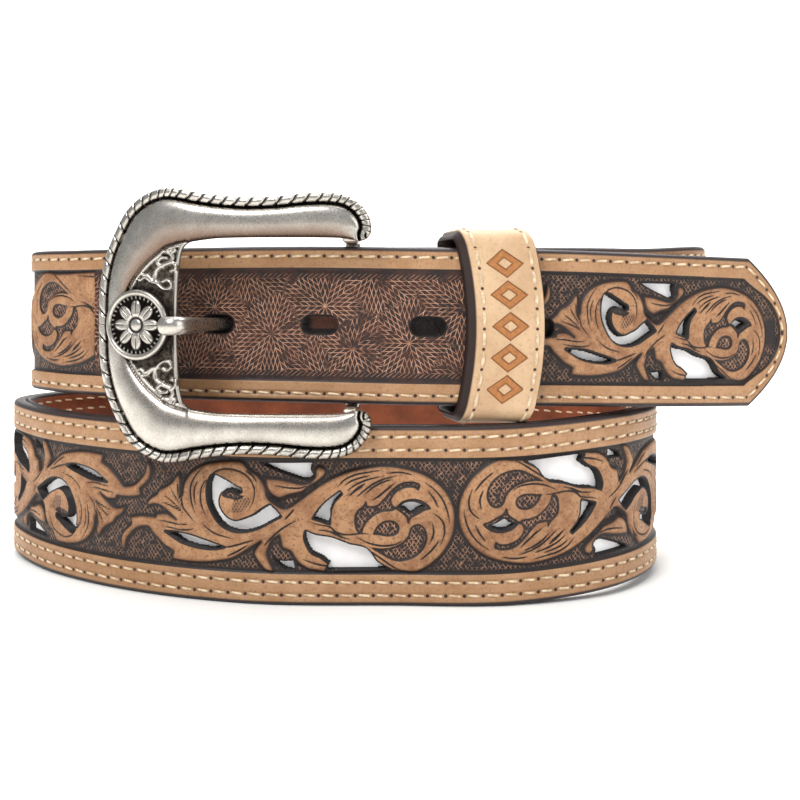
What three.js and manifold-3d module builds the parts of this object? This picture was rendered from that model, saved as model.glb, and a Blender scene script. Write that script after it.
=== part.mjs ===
// Western tooled belt, buckled and wound in two turns that stand on the strap's edge.
// Millimetres, +Z up, seen from -Y. The origin is the middle of the footprint, on the surface.
// Flat leather is laid out as (along the strap, across its width, out through its thickness)
// and bent round the coil.
import * as THREE from "three";
import { mergeVertices } from "three/addons/utils/BufferGeometryUtils.js";
import Module from "manifold-3d";

const wasm = await Module();
wasm.setup();

// Strap widths
const bodyWidth = 41.5;
const billetWidth = 37;
const fieldWidth = 26.5; // tooled band between the plain borders
const inlayWidth = 29;
const inlaySeat = 0.3; // room left round the inlay

// Leather thicknesses
const liningThickness = 1.3;
const inlayThickness = 0.6;
const overlayThickness = 3;
const fieldDepth = 0.45; // the tooled ground lies this far below the borders
const layerGap = 0.3;

// Coil
const coilHalfWidth = 87;
const coilHalfDepth = 53;
const turnLift = 44; // the upper turn stands this far above the lower one
const stationsPerRow = 3;
const plugSegments = 3; // facets on a quarter of a hole's end

// Free end
const noseLength = 11.5;
const noseWidth = 13;
const noseRound = 0.55; // the share of the nose's closing that is round, the rest straight

// Where the strap widens to its body and narrows to the billet, as shares of its length
const widenFrom = 0.06;
const widenTo = 0.11;
const narrowFrom = 0.68;
const narrowTo = 0.72;

// Holes
const holeLength = 8.6;
const holeHeight = 4.5;
const holePitch = 25.4;
const holeCount = 5;
const prongHole = 1; // the second hole from the buckle side holds the prong

// Pierced floral unit, which is turned half round at each joint
const unitLength = 78;
const unitJointX = 33.6; // one joint on the lower front lies this far right of the coil's middle
const floralFrom = 60; // the first unit clears the fold at the heel bar
const floralClear = 10; // the last unit stops this far from the first hole
const billetUnitScale = 0.8;
const billetUnitWidth = 0.95;
const billetUnitClear = 7; // from the billet's unit to the tip of the nose
const gapCorners = 6;
const gapThick = 0.75; // a gap's thickness at its middle, as a share of its width
const gapTaper = 0.25; // what its blunt end has more and its pointed end less

// Keeper
const keeperWidth = 16.5;
const keeperReach = 36; // from the heel bar to its middle
const keeperLeather = 2.4;
const keeperRise = 1.3; // room above and below the strap
const keeperSlack = 0.35;
const keeperCorner = 4.2;

// Buckle
const buckleWidth = 66;
const buckleHeight = 63.5;
const armOverBar = 5; // the arms end this far right of the heel bar
const bowBendFrom = 24; // left of here, measured from the arms' ends, the frame curves back
const bowBendRadius = 60;
const frameThickness = 4;
const frameEdge = 1.2; // its rounded edge
const frameGap = 0.5; // between the frame's back and the lower turn
const heelBarDiameter = 3.6;
const heelBarLength = 45.2;
const heelBarDepth = 2; // behind the middle of the buckle end of the strap
const heelBarBefore = 4.4; // before the strap's cut end
const jointOverlap = 1; // cast parts run this far into each other
const medallionDiameter = 15.4;
const medallionRise = 0.9;
const medallionDraft = 0.5; // it narrows this much to its face
const medallionPlace = 0.58; // its middle from the bow, in its diameters
const prongReach = 32; // from the heel bar to its hole
const prongHeight = 4.2;
const prongThickness = 3.2;
const prongSlack = 0.35;
const prongRingWall = 1.4;
const prongTip = 1; // from the bow, in medallion diameters
const prongLanding = 1.35;

// Buckle end of the strap, skived and folded round the heel bar
const foldLeather = 1.6;
const foldHeight = 33;
const foldLeg = 42;
const foldSlack = 0.3;
const snapDiameter = 9;
const snapThickness = 1.6;
const snapReaches = [11, 21.5]; // from the heel bar
const foldSlotReach = 4; // the slot for the prong's root ends this far behind the heel bar
const foldSlotSlack = 0.8;

const liningTop = liningThickness;
const inlayBottom = liningTop + layerGap;
const inlayTop = inlayBottom + inlayThickness;
const overlayBottom = liningTop + layerGap;
const overlayTop = overlayBottom + overlayThickness;
const strapMiddle = overlayTop / 2;

// The coil's course, a row for each bend: shares of the half width, half depth and lift.
// It starts at the heel bar, runs right behind the billet, drops to the lower turn at the back,
// passes the front, climbs inside the first pass and ends in the free end.
const course = [
  { wide: 0.155, deep: -0.815, rise: 1 },
  { wide: 0.517, deep: -0.8, rise: 1 },
  { wide: 0.897, deep: -0.655, rise: 1 },
  { wide: 1.149, deep: -0.264, rise: 0.99 },
  { wide: 1.126, deep: 0.264, rise: 0.92 },
  { wide: 0.862, deep: 0.698, rise: 0.7 },
  { wide: 0.46, deep: 0.962, rise: 0.38 },
  { wide: 0, deep: 1.047, rise: 0.09 },
  { wide: -0.46, deep: 0.943, rise: 0 },
  { wide: -0.839, deep: 0.557, rise: 0.03 },
  { wide: -0.989, deep: 0.057, rise: 0.03 },
  { wide: -0.851, deep: -0.34, rise: 0.01 },
  { wide: -0.529, deep: -0.745, rise: 0 },
  { wide: -0.161, deep: -0.972, rise: 0 },
  { wide: 0.207, deep: -1, rise: 0 },
  { wide: 0.54, deep: -1, rise: 0.008 },
  { wide: 0.828, deep: -0.802, rise: 0.04 },
  { wide: 0.989, deep: -0.34, rise: 0.04 },
  { wide: 0.954, deep: 0.245, rise: 0.02 },
  { wide: 0.701, deep: 0.679, rise: 0 },
  { wide: 0.287, deep: 0.877, rise: 0.12 },
  { wide: -0.138, deep: 0.881, rise: 0.4 },
  { wide: -0.529, deep: 0.717, rise: 0.72 },
  { wide: -0.816, deep: 0.358, rise: 0.93 },
  { wide: -0.902, deep: -0.132, rise: 1 },
  { wide: -0.713, deep: -0.462, rise: 1 },
  { wide: -0.356, deep: -0.736, rise: 1 },
  { wide: 0, deep: -0.896, rise: 1 },
  { wide: 0.316, deep: -0.93, rise: 0.99 },
  { wide: 0.663, deep: -0.889, rise: 0.98 },
  { wide: 1.011, deep: -0.74, rise: 0.96 },
  { wide: 1.362, deep: -0.53, rise: 0.94 },
];

// Gaps pierced through one floral unit, in shares of its length and of the field's half width.
// Each is a leaf between two scrolls: its middle, its length and width, its turn in degrees
// and how far its middle is bowed aside, in its own widths.
const gaps = [
  { along: 0.21, across: -0.5, long: 0.19, wide: 0.12, turn: -10, bow: 0 },
  { along: 0.36, across: 0.02, long: 0.2, wide: 0.36, turn: -33, bow: -0.9 },
  { along: 0.49, across: -0.84, long: 0.07, wide: 0.2, turn: -16, bow: 0 },
  { along: 0.495, across: 0.79, long: 0.16, wide: 0.26, turn: -5, bow: 0 },
  { along: 0.618, across: 0.1, long: 0.13, wide: 0.28, turn: 41, bow: 0.1 },
  { along: 0.66, across: -0.69, long: 0.25, wide: 0.5, turn: -22, bow: 0 },
  { along: 0.868, across: 0.095, long: 0.085, wide: 0.2, turn: 4, bow: 0.15 },
];

const route = new THREE.CatmullRomCurve3(
  course.map(
    (row) =>
      new THREE.Vector3(
        row.wide * coilHalfWidth,
        row.deep * coilHalfDepth,
        bodyWidth / 2 + row.rise * turnLift,
      ),
  ),
  false,
  "centripetal",
);
route.arcLengthDivisions = 1200;
const strapLength = route.getLength();
const stationCount = (course.length - 1) * stationsPerRow;
const stationStep = strapLength / stationCount;
const up = new THREE.Vector3(0, 0, 1);

// The strap's own directions at a place along it: up across its width, and outward. It stands
// upright all the way, and where it climbs its upright measure grows to keep its true width.
// The surface it stands on stops it from sinking lower.
function framesAt(along) {
  const share = THREE.MathUtils.clamp(along / strapLength, 0, 1);
  const origin = route.getPointAt(share);
  const forward = route.getTangentAt(share);
  origin.addScaledVector(forward, along - share * strapLength);
  const level = forward.clone().setZ(0);
  const across = up.clone().divideScalar(level.length());
  origin.z = Math.max(origin.z, halfWidthAt(along) * across.z);
  const out = new THREE.Vector3().crossVectors(level.normalize(), up);
  return { origin, across, out };
}

// Half of the strap's width: the wide body, its two narrow ends and the nose at the free end.
function halfWidthAt(along) {
  const share = along / strapLength;
  const widened = THREE.MathUtils.smoothstep(share, widenFrom, widenTo);
  const narrowed = THREE.MathUtils.smoothstep(share, narrowFrom, narrowTo);
  const plain = THREE.MathUtils.lerp(billetWidth, bodyWidth, widened - narrowed) / 2;
  const intoNose = (along - strapLength + noseLength) / noseLength;
  if (intoNose <= 0) return plain;
  const round = 1 - Math.sqrt(1 - Math.min(intoNose, 1) ** 2);
  const closing = THREE.MathUtils.lerp(intoNose, round, noseRound);
  return THREE.MathUtils.lerp(plain, noseWidth / 2, closing);
}

// A width laid out on the full body, fitted to the strap: the borders take up the difference.
function fitAcross(across, along) {
  const half = halfWidthAt(along);
  const keep = inlayWidth / 2 + inlaySeat;
  const nose = Math.min(1, half / (billetWidth / 2));
  const border = half / nose - keep;
  const beyond = Math.max(Math.abs(across) - keep, 0);
  const stretched = Math.min(Math.abs(across), keep) + (beyond * border) / (bodyWidth / 2 - keep);
  return Math.sign(across) * stretched * nose;
}

// Bends flat leather round the coil. Its x is along the strap, y across it and z out of it.
function bend(geometry) {
  const place = geometry.getAttribute("position");
  for (let i = 0; i < place.count; i++) {
    const along = place.getX(i);
    const frame = framesAt(along);
    const point = frame.origin
      .addScaledVector(frame.across, fitAcross(place.getY(i), along))
      .addScaledVector(frame.out, place.getZ(i) - strapMiddle);
    place.setXYZ(i, point.x, point.y, point.z);
  }
  return geometry;
}

// A long layer of leather: its cross-section, as pairs across and out, swept along the strap.
// Every layer starts and ends on a station, so that neighbours have the same facets.
function layer(section, from, to) {
  const shape = new THREE.Shape(section.map(([across, out]) => new THREE.Vector2(across, out)));
  const first = Math.round(from / stationStep);
  const steps = Math.round(to / stationStep) - first;
  const depth = steps * stationStep;
  const flat = new THREE.ExtrudeGeometry(shape, { depth, steps, bevelEnabled: false });
  const lay = new THREE.Matrix4().makeBasis(
    new THREE.Vector3(0, 1, 0),
    new THREE.Vector3(0, 0, 1),
    new THREE.Vector3(1, 0, 0),
  );
  flat.applyMatrix4(lay).translate(first * stationStep, 0, 0);
  return bend(flat);
}

// A rectangular cross-section for a plain layer.
function flatSection(width, bottom, top) {
  const half = width / 2;
  return [
    [-half, bottom],
    [half, bottom],
    [half, top],
    [-half, top],
  ];
}

// A plug that cuts a flat outline through every layer between two depths.
function plug(outline, bottom, top) {
  const flat = new THREE.ExtrudeGeometry(outline, {
    depth: top - bottom,
    steps: 1,
    bevelEnabled: false,
    curveSegments: plugSegments,
  });
  return bend(flat.translate(0, 0, bottom));
}

function solid(geometry) {
  const bare = geometry.clone();
  bare.deleteAttribute("normal");
  bare.deleteAttribute("uv");
  const merged = mergeVertices(bare, 1e-4);
  const vertProperties = new Float32Array(merged.getAttribute("position").array);
  const triVerts = new Uint32Array(merged.getIndex().array);
  return new wasm.Manifold(new wasm.Mesh({ numProp: 3, vertProperties, triVerts }));
}

function geometryOf(body) {
  const { vertProperties, triVerts } = body.getMesh();
  const geometry = new THREE.BufferGeometry();
  geometry.setAttribute("position", new THREE.BufferAttribute(vertProperties, 3));
  geometry.setIndex(new THREE.BufferAttribute(triVerts, 1));
  geometry.computeVertexNormals();
  return geometry;
}

function joined(geometries) {
  return geometries.map(solid).reduce((whole, next) => whole.add(next));
}

const materials = {
  tooledLeather: { color: 0xa9783f, roughness: 0.6, metalness: 0 },
  inlayLeather: { color: 0xdcd8dc, roughness: 0.7, metalness: 0 },
  liningLeather: { color: 0x8a3a1c, roughness: 0.55, metalness: 0 },
  keeperLeather: { color: 0xe0b88c, roughness: 0.55, metalness: 0 },
  antiqueSilver: { color: 0xb8b3a8, roughness: 0.35, metalness: 1 },
};

function piece(name, geometry, finish) {
  const mesh = new THREE.Mesh(geometry, new THREE.MeshStandardMaterial(materials[finish]));
  mesh.name = name;
  return mesh;
}

// The place along the strap whose X is the wanted one, searched between two shares of it.
function alongAt(x, fromShare, toShare) {
  let low = fromShare;
  let high = toShare;
  const rounds = 40;
  for (let i = 0; i < rounds; i++) {
    const middle = (low + high) / 2;
    if (route.getPointAt(middle).x < x) low = middle;
    else high = middle;
  }
  return ((low + high) / 2) * strapLength;
}

// Places that the strap and the buckle share
const freeTurnStart = 0.8; // the billet's front pass begins after this share of the strap
const heelBarX = route.getPointAt(0).x - heelBarBefore;
const frameRight = heelBarX + armOverBar;
const frameLeft = frameRight - buckleWidth;
const frameZ = bodyWidth / 2 + turnLift; // the billet's middle line
const foremost = Math.min(...route.getSpacedPoints(400).map((point) => point.y));
const lowerFrontY = foremost - strapMiddle;
const frameBack = lowerFrontY - frameGap;
const frameFront = frameBack - frameThickness;
const heelBarY = route.getPointAt(0).y + heelBarDepth;
const prongHoleX = heelBarX - prongReach;
const prongHoleAlong = alongAt(prongHoleX, freeTurnStart, 1);

// How far the frame curves back at a place along it.
function bowBend(x) {
  const beyond = Math.max(frameRight - bowBendFrom - x, 0);
  return beyond ** 2 / (2 * bowBendRadius);
}

// The floral units: where each starts, whether it is turned half round and its scale. They are
// laid both ways from the joint on the lower front.
const lowerFront = { from: 0.4, to: 0.55 }; // shares of the strap
const unitJoint = alongAt(unitJointX, lowerFront.from, lowerFront.to);
const unitsBefore = Math.floor((unitJoint - floralFrom) / unitLength);
const floralUntil = prongHoleAlong - prongHole * holePitch - floralClear;
const unitsAfter = Math.floor((floralUntil - unitJoint) / unitLength);
const billetUnitStart = strapLength - billetUnitClear - unitLength * billetUnitScale;
const units = [];
for (let i = -unitsBefore; i < unitsAfter; i++) {
  units.push({ start: unitJoint + i * unitLength, turned: i % 2 === 0, scale: 1, spread: 1 });
}
units.push({
  start: billetUnitStart,
  turned: false,
  scale: billetUnitScale,
  spread: billetUnitWidth,
});

// One gap's outline: a leaf that is blunt at one end, pointed at the other and bowed aside.
function gapOutline(row, unit) {
  const long = row.long * unitLength;
  const wide = (row.wide * fieldWidth) / 2;
  const turn = THREE.MathUtils.degToRad(row.turn);
  const way = unit.turned ? -1 : 1;
  const middle = unit.start + (unitLength * unit.scale) / 2;
  const corners = [];
  for (let i = 0; i < gapCorners; i++) {
    const round = (2 * Math.PI * i) / gapCorners;
    const onLength = Math.cos(round);
    const blunt = gapThick - gapTaper * onLength;
    const x = (onLength * long) / 2;
    const y = (Math.sin(round) * wide * blunt) / 2 + row.bow * wide * (1 - 2 * onLength ** 2);
    const along = (row.along - 0.5) * unitLength + x * Math.cos(turn) - y * Math.sin(turn);
    const across = (row.across * fieldWidth) / 2 + x * Math.sin(turn) + y * Math.cos(turn);
    corners.push(new THREE.Vector2(middle + way * along * unit.scale, way * across * unit.spread));
  }
  return new THREE.Shape(corners);
}

function ovalOutline(along, length, height) {
  const straight = (length - height) / 2;
  const shape = new THREE.Shape();
  shape.absarc(along + straight, 0, height / 2, -Math.PI / 2, Math.PI / 2, false);
  shape.absarc(along - straight, 0, height / 2, Math.PI / 2, (3 * Math.PI) / 2, false);
  return shape;
}

// The prong's line near its hole: places right of the hole and behind the billet's middle.
const prongBends = [
  { right: 4.5, behind: 3.4 },
  { right: -1, behind: -3 },
];
const prongDip = { right: 13, behind: 1.6 }; // measured from the hole and the heel bar

// Buckle prong: from the heel bar behind the billet, out through its hole, onto the frame.
function prongGeometry(slack) {
  const holeY = framesAt(prongHoleAlong).origin.y;
  const proud = prongThickness / 2 + prongSlack + medallionRise;
  const rootX = heelBarX - heelBarDiameter / 2 - prongRingWall;
  const course = [
    new THREE.Vector3(rootX, heelBarY, frameZ),
    new THREE.Vector3(prongHoleX + prongDip.right, heelBarY + prongDip.behind, frameZ),
  ];
  for (const row of prongBends) {
    course.push(new THREE.Vector3(prongHoleX + row.right, holeY + row.behind, frameZ));
  }
  for (const place of [prongLanding, prongTip]) {
    const x = frameLeft + medallionDiameter * place;
    course.push(new THREE.Vector3(x, frameFront + bowBend(x) - proud, frameZ));
  }
  const line = new THREE.CatmullRomCurve3(course, false, "centripetal");
  const shape = new THREE.Shape();
  shape.absellipse(0, 0, prongHeight / 2 + slack, prongThickness / 2 + slack, 0, 2 * Math.PI);
  const body = new THREE.ExtrudeGeometry(shape, {
    steps: 14,
    extrudePath: line,
    curveSegments: 4,
    bevelEnabled: false,
  });
  return body;
}

// Ring at the prong's root that turns on the heel bar.
function prongRing() {
  const reach = heelBarDiameter / 2 + foldSlack;
  const profile = new THREE.Shape();
  profile.absarc(0, 0, reach + prongRingWall, 0, 2 * Math.PI);
  const bore = new THREE.Path();
  bore.absarc(0, 0, reach, 0, 2 * Math.PI);
  profile.holes.push(bore);
  const ring = new THREE.ExtrudeGeometry(profile, {
    depth: prongHeight,
    curveSegments: 8,
    bevelEnabled: false,
  });
  return ring.translate(heelBarX, heelBarY, frameZ - prongHeight / 2);
}

const prongBody = solid(prongGeometry(0)).add(solid(prongRing()));
const prongRelief = solid(prongGeometry(prongSlack));

// Cross-section of the tooled overlay: proud borders, sunk field, and a seat behind for the inlay.
const bodyHalf = bodyWidth / 2;
const fieldHalf = fieldWidth / 2;
const seatHalf = inlayWidth / 2 + inlaySeat;
const fieldTop = overlayTop - fieldDepth;
const seatTop = inlayTop + inlaySeat;
const overlaySection = [
  [-bodyHalf, overlayBottom],
  [-seatHalf, overlayBottom],
  [-seatHalf, seatTop],
  [seatHalf, seatTop],
  [seatHalf, overlayBottom],
  [bodyHalf, overlayBottom],
  [bodyHalf, overlayTop],
  [fieldHalf + fieldDepth, overlayTop],
  [fieldHalf, fieldTop],
  [-fieldHalf, fieldTop],
  [-fieldHalf - fieldDepth, overlayTop],
  [-bodyHalf, overlayTop],
];

const holeAlongs = [];
for (let i = 0; i < holeCount; i++) {
  holeAlongs.push(prongHoleAlong + (i - prongHole) * holePitch);
}
const through = { bottom: -jointOverlap, top: overlayTop + jointOverlap };

function cutHoles(body) {
  let cut = body;
  for (const along of holeAlongs) {
    const outline = ovalOutline(along, holeLength, holeHeight);
    cut = cut.subtract(solid(plug(outline, through.bottom, through.top)));
  }
  return cut.subtract(prongRelief);
}

let overlay = cutHoles(solid(layer(overlaySection, 0, strapLength)));
for (const unit of units) {
  for (const row of gaps) {
    const outline = gapOutline(row, unit);
    overlay = overlay.subtract(solid(plug(outline, inlayBottom, through.top)));
  }
}

const lining = cutHoles(solid(layer(flatSection(bodyWidth, 0, liningTop), 0, strapLength)));

const firstHole = holeAlongs[0];
const lastHole = holeAlongs[holeCount - 1];
const inlayClear = holeLength; // the inlays stop this far from the nearest hole
const inlaySection = flatSection(inlayWidth, inlayBottom, inlayTop);
const bodyInlay = layer(inlaySection, floralFrom - inlayClear, firstHole - inlayClear);
const billetInlay = layer(inlaySection, lastHole + inlayClear, strapLength - noseLength);

// Keeper: a leather band round the billet and the strap behind it.
function keeperGeometry() {
  const centreX = heelBarX + keeperReach;
  const sides = [centreX - keeperWidth / 2, centreX, centreX + keeperWidth / 2];
  const fronts = sides.map((x) => framesAt(alongAt(x, freeTurnStart, 1)).origin.y);
  const near = Math.min(...fronts) - strapMiddle - keeperSlack;
  const far = Math.max(strapBack, legEndY) + foldLeather + keeperSlack;
  const low = frameZ - billetWidth / 2 - keeperRise;
  const high = frameZ + billetWidth / 2 + keeperRise;
  const leather = keeperLeather;
  const outer = roundedLoop(near - leather, far + leather, low - leather, high + leather, keeperCorner);
  outer.holes.push(roundedLoop(near, far, low, high, keeperCorner - keeperLeather));
  const band = new THREE.ExtrudeGeometry(outer, {
    depth: keeperWidth,
    curveSegments: 5,
    bevelEnabled: false,
  });
  // The loop is drawn in depth and height and swept along X.
  const stand = new THREE.Matrix4().makeBasis(
    new THREE.Vector3(0, 1, 0),
    new THREE.Vector3(0, 0, 1),
    new THREE.Vector3(1, 0, 0),
  );
  return band.applyMatrix4(stand).translate(centreX - keeperWidth / 2, 0, 0);
}

function roundedLoop(left, right, low, high, corner) {
  const loop = new THREE.Shape();
  loop.absarc(right - corner, low + corner, corner, -Math.PI / 2, 0, false);
  loop.absarc(right - corner, high - corner, corner, 0, Math.PI / 2, false);
  loop.absarc(left + corner, high - corner, corner, Math.PI / 2, Math.PI, false);
  loop.absarc(left + corner, low + corner, corner, Math.PI, 1.5 * Math.PI, false);
  return loop;
}

// Half of the C frame's outline above the billet's middle line, in shares of the half height
// and of the width from the bow: the outer edge runs left to right, the inner one back.
const frameOutline = {
  outer: [
    { across: 0, up: 0 },
    { across: 0.03, up: 0.36 },
    { across: 0.11, up: 0.68 },
    { across: 0.19, up: 0.9 },
    { across: 0.3, up: 1 },
    { across: 0.56, up: 0.95 },
    { across: 0.86, up: 0.95 },
    { across: 0.97, up: 0.84 },
    { across: 1, up: 0.7 },
    { across: 0.965, up: 0.61 },
  ],
  inner: [
    { across: 0.9, up: 0.6 },
    { across: 0.385, up: 0.62 },
    { across: 0.34, up: 0.59 },
    { across: 0.322, up: 0.5 },
    { across: 0.318, up: 0 },
  ],
};

function frameShape() {
  const shape = new THREE.Shape();
  const corner = (row, side) =>
    new THREE.Vector2(frameLeft + row.across * buckleWidth, side * row.up * (buckleHeight / 2));
  const outerUp = frameOutline.outer.map((row) => corner(row, 1));
  const innerUp = frameOutline.inner.map((row) => corner(row, 1));
  const outerDown = frameOutline.outer.map((row) => corner(row, -1)).reverse();
  const innerDown = frameOutline.inner.map((row) => corner(row, -1)).reverse();
  shape.moveTo(outerUp[0].x, outerUp[0].y);
  shape.splineThru(outerUp.slice(1));
  innerUp.forEach((point) => shape.lineTo(point.x, point.y));
  innerDown.slice(1).forEach((point) => shape.lineTo(point.x, point.y));
  shape.lineTo(outerDown[0].x, outerDown[0].y);
  shape.splineThru(outerDown.slice(1));
  return shape;
}

// Stands a plate that is drawn in X and height up at a depth, with its face towards -Y.
function stood(geometry, back) {
  return geometry.rotateX(Math.PI / 2).translate(0, back, frameZ);
}

// Curves the bow of a piece of the frame back towards the body.
function curvedBack(geometry) {
  const place = geometry.getAttribute("position");
  for (let i = 0; i < place.count; i++) {
    place.setY(i, place.getY(i) + bowBend(place.getX(i)));
  }
  return geometry;
}

function buckleFrame() {
  const plate = new THREE.ExtrudeGeometry(frameShape(), {
    depth: frameThickness - 2 * frameEdge,
    curveSegments: 3,
    bevelEnabled: true,
    bevelThickness: frameEdge,
    bevelSize: frameEdge,
    bevelOffset: -frameEdge,
    bevelSegments: 2,
  });
  const frame = curvedBack(stood(plate.translate(0, 0, frameEdge), frameBack));
  const medallionX = frameLeft + medallionDiameter * medallionPlace;
  const medal = new THREE.CylinderGeometry(
    medallionDiameter / 2,
    medallionDiameter / 2 - medallionDraft,
    medallionRise + jointOverlap,
    20,
  );
  medal.translate(medallionX, frameFront + (jointOverlap - medallionRise) / 2, frameZ);
  curvedBack(medal);
  const barRadius = heelBarDiameter / 2;
  const bar = new THREE.CylinderGeometry(barRadius, barRadius, heelBarLength, 12);
  bar.rotateX(Math.PI / 2).translate(heelBarX, heelBarY, frameZ);
  const lugDepth = heelBarY + heelBarDiameter / 2 - frameBack + jointOverlap;
  const lugs = [-1, 1].map((side) => {
    const lug = new THREE.BoxGeometry(heelBarDiameter, lugDepth, heelBarDiameter);
    const lugZ = frameZ + side * (heelBarLength / 2 - barRadius);
    return lug.translate(heelBarX, frameBack - jointOverlap + lugDepth / 2, lugZ);
  });
  return geometryOf(joined([frame, medal, bar, ...lugs]).subtract(prongRelief));
}

// The fold's leg lies behind the strap: its near face at the strap's end and at the leg's end.
const strapBack = framesAt(0).origin.y + strapMiddle + foldSlack;
const legEndX = heelBarX + foldLeg;
const legEndY = framesAt(alongAt(legEndX, 0, 0.1)).origin.y + strapMiddle + foldSlack;

// Strap end folded round the heel bar, slotted for the prong's root.
function foldGeometry() {
  const inner = heelBarDiameter / 2 + foldSlack;
  const outer = inner + foldLeather;
  const frontX = route.getPointAt(0).x - foldSlack;
  const shape = new THREE.Shape();
  shape.moveTo(frontX, heelBarY - outer);
  shape.lineTo(heelBarX, heelBarY - outer);
  shape.absarc(heelBarX, heelBarY, outer, -Math.PI / 2, Math.PI / 2, true);
  shape.lineTo(frontX, strapBack + foldLeather);
  shape.lineTo(legEndX, legEndY + foldLeather);
  shape.lineTo(legEndX, legEndY);
  shape.lineTo(frontX, strapBack);
  shape.lineTo(heelBarX, heelBarY + inner);
  shape.absarc(heelBarX, heelBarY, inner, Math.PI / 2, -Math.PI / 2, false);
  shape.lineTo(frontX, heelBarY - inner);
  const band = new THREE.ExtrudeGeometry(shape, {
    depth: foldHeight,
    curveSegments: 8,
    bevelEnabled: false,
  });
  band.translate(0, 0, frameZ - foldHeight / 2);
  const slotHeight = prongHeight + 2 * foldSlotSlack;
  const slotLength = outer + foldSlotReach + jointOverlap;
  const slot = new THREE.BoxGeometry(slotLength, 2 * (outer + jointOverlap), slotHeight);
  slot.translate(heelBarX + foldSlotReach - slotLength / 2, heelBarY, frameZ);
  return geometryOf(solid(band).subtract(solid(slot)));
}

function snapGeometry(x) {
  const radius = snapDiameter / 2;
  const cap = new THREE.CylinderGeometry(radius, radius, snapThickness, 12);
  const legStart = route.getPointAt(0).x;
  const share = (x + radius - legStart) / (legEndX - legStart);
  const legBack = THREE.MathUtils.lerp(strapBack, legEndY, share) + foldLeather;
  return cap.translate(x, legBack + foldSlack + snapThickness / 2, frameZ);
}

const belt = new THREE.Group();
belt.add(piece("tooled_overlay", geometryOf(overlay), "tooledLeather"));
belt.add(piece("strap_lining", geometryOf(lining), "liningLeather"));
belt.add(piece("body_inlay", bodyInlay, "inlayLeather"));
belt.add(piece("billet_inlay", billetInlay, "inlayLeather"));
belt.add(piece("buckle_fold", foldGeometry(), "liningLeather"));
belt.add(piece("keeper", keeperGeometry(), "keeperLeather"));
belt.add(piece("buckle_frame", buckleFrame(), "antiqueSilver"));
belt.add(piece("buckle_prong", geometryOf(prongBody), "antiqueSilver"));
snapReaches.forEach((reach, i) => {
  belt.add(piece(`snap_${i + 1}`, snapGeometry(heelBarX + reach), "antiqueSilver"));
});

// The footprint's middle goes to the origin.
const extent = new THREE.Box3().setFromObject(belt);
const middle = extent.getCenter(new THREE.Vector3());
belt.position.set(-middle.x, -middle.y, -extent.min.z);

export default belt;
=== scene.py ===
import bmesh
import bpy
import math
import numpy as np
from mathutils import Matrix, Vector


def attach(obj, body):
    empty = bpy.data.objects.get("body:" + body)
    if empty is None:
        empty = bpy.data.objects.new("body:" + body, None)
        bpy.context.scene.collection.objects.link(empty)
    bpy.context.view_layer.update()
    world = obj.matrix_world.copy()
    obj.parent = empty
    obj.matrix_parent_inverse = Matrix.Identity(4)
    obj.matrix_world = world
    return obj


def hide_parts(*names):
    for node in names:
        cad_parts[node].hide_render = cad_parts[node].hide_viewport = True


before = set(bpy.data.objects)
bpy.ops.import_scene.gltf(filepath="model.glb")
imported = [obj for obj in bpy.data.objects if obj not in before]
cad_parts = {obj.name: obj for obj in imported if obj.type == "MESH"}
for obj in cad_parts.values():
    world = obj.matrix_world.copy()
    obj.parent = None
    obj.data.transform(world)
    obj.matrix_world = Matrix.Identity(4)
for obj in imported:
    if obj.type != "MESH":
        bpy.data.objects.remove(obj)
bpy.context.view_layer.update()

# Western tooled belt: the leather's relief, stitches, keeper and buckle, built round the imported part.
# Lengths are in millimetres until a mesh is made.


def hexColour(code):
    parts = [int(code[i:i + 2], 16) / 255 for i in (1, 3, 5)]
    return [part / 12.92 if part <= 0.04045 else ((part + 0.055) / 1.055) ** 2.4 for part in parts] + [1.0]


def addNode(tree, kind, settings=None, links=None):
    node = tree.nodes.new(kind)
    for name, value in (settings or {}).items():
        if hasattr(node, name):
            setattr(node, name, value)
        else:
            node.inputs[name].default_value = value
    for name, socket in (links or {}).items():
        tree.links.new(socket, node.inputs[name])
    return node


def plug(socket, value):
    if isinstance(value, Value):
        value.tree.links.new(value.socket, socket)
    else:
        socket.default_value = hexColour(value) if isinstance(value, str) else value


# A value in a material's node tree, so that its maths reads as plain maths.
class Value:
    def __init__(self, tree, socket):
        self.tree, self.socket = tree, socket

    def node(self, kind, settings, values):
        node = addNode(self.tree, kind, settings)
        for socket, value in zip(node.inputs, values):
            plug(socket, value)
        return Value(self.tree, node.outputs[0])

    def math(self, operation, *values):
        return self.node("ShaderNodeMath", {"operation": operation}, values)

    def __add__(self, other):
        return self.math("ADD", self, other)

    def __sub__(self, other):
        return self.math("SUBTRACT", self, other)

    def __rsub__(self, other):
        return self.math("SUBTRACT", other, self)

    def __mul__(self, other):
        return self.math("MULTIPLY", self, other)

    def __abs__(self):
        return self.math("ABSOLUTE", self)

    def __gt__(self, other):
        return self.math("GREATER_THAN", self, other)

    def __lt__(self, other):
        return self.math("LESS_THAN", self, other)

    def least(self, other):
        return self.math("MINIMUM", self, other)

    def most(self, other):
        return self.math("MAXIMUM", self, other)

    def sine(self):
        return self.math("SINE", self)

    # a triangle wave, zero at every whole period
    def wave(self, period):
        return self.math("PINGPONG", self, period / 2)

    def awayFrom(self, other):
        square = self * self + other * other
        return square.math("SQRT", square)

    # a smooth step from one level to another between two bounds
    def step(self, low, high, down=0.0, up=1.0):
        return self.node("ShaderNodeMapRange", {"interpolation_type": "SMOOTHSTEP"}, (self, low, high, down, up))

    def fall(self, low, high):
        return self.step(low, high, 1.0, 0.0)


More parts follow.
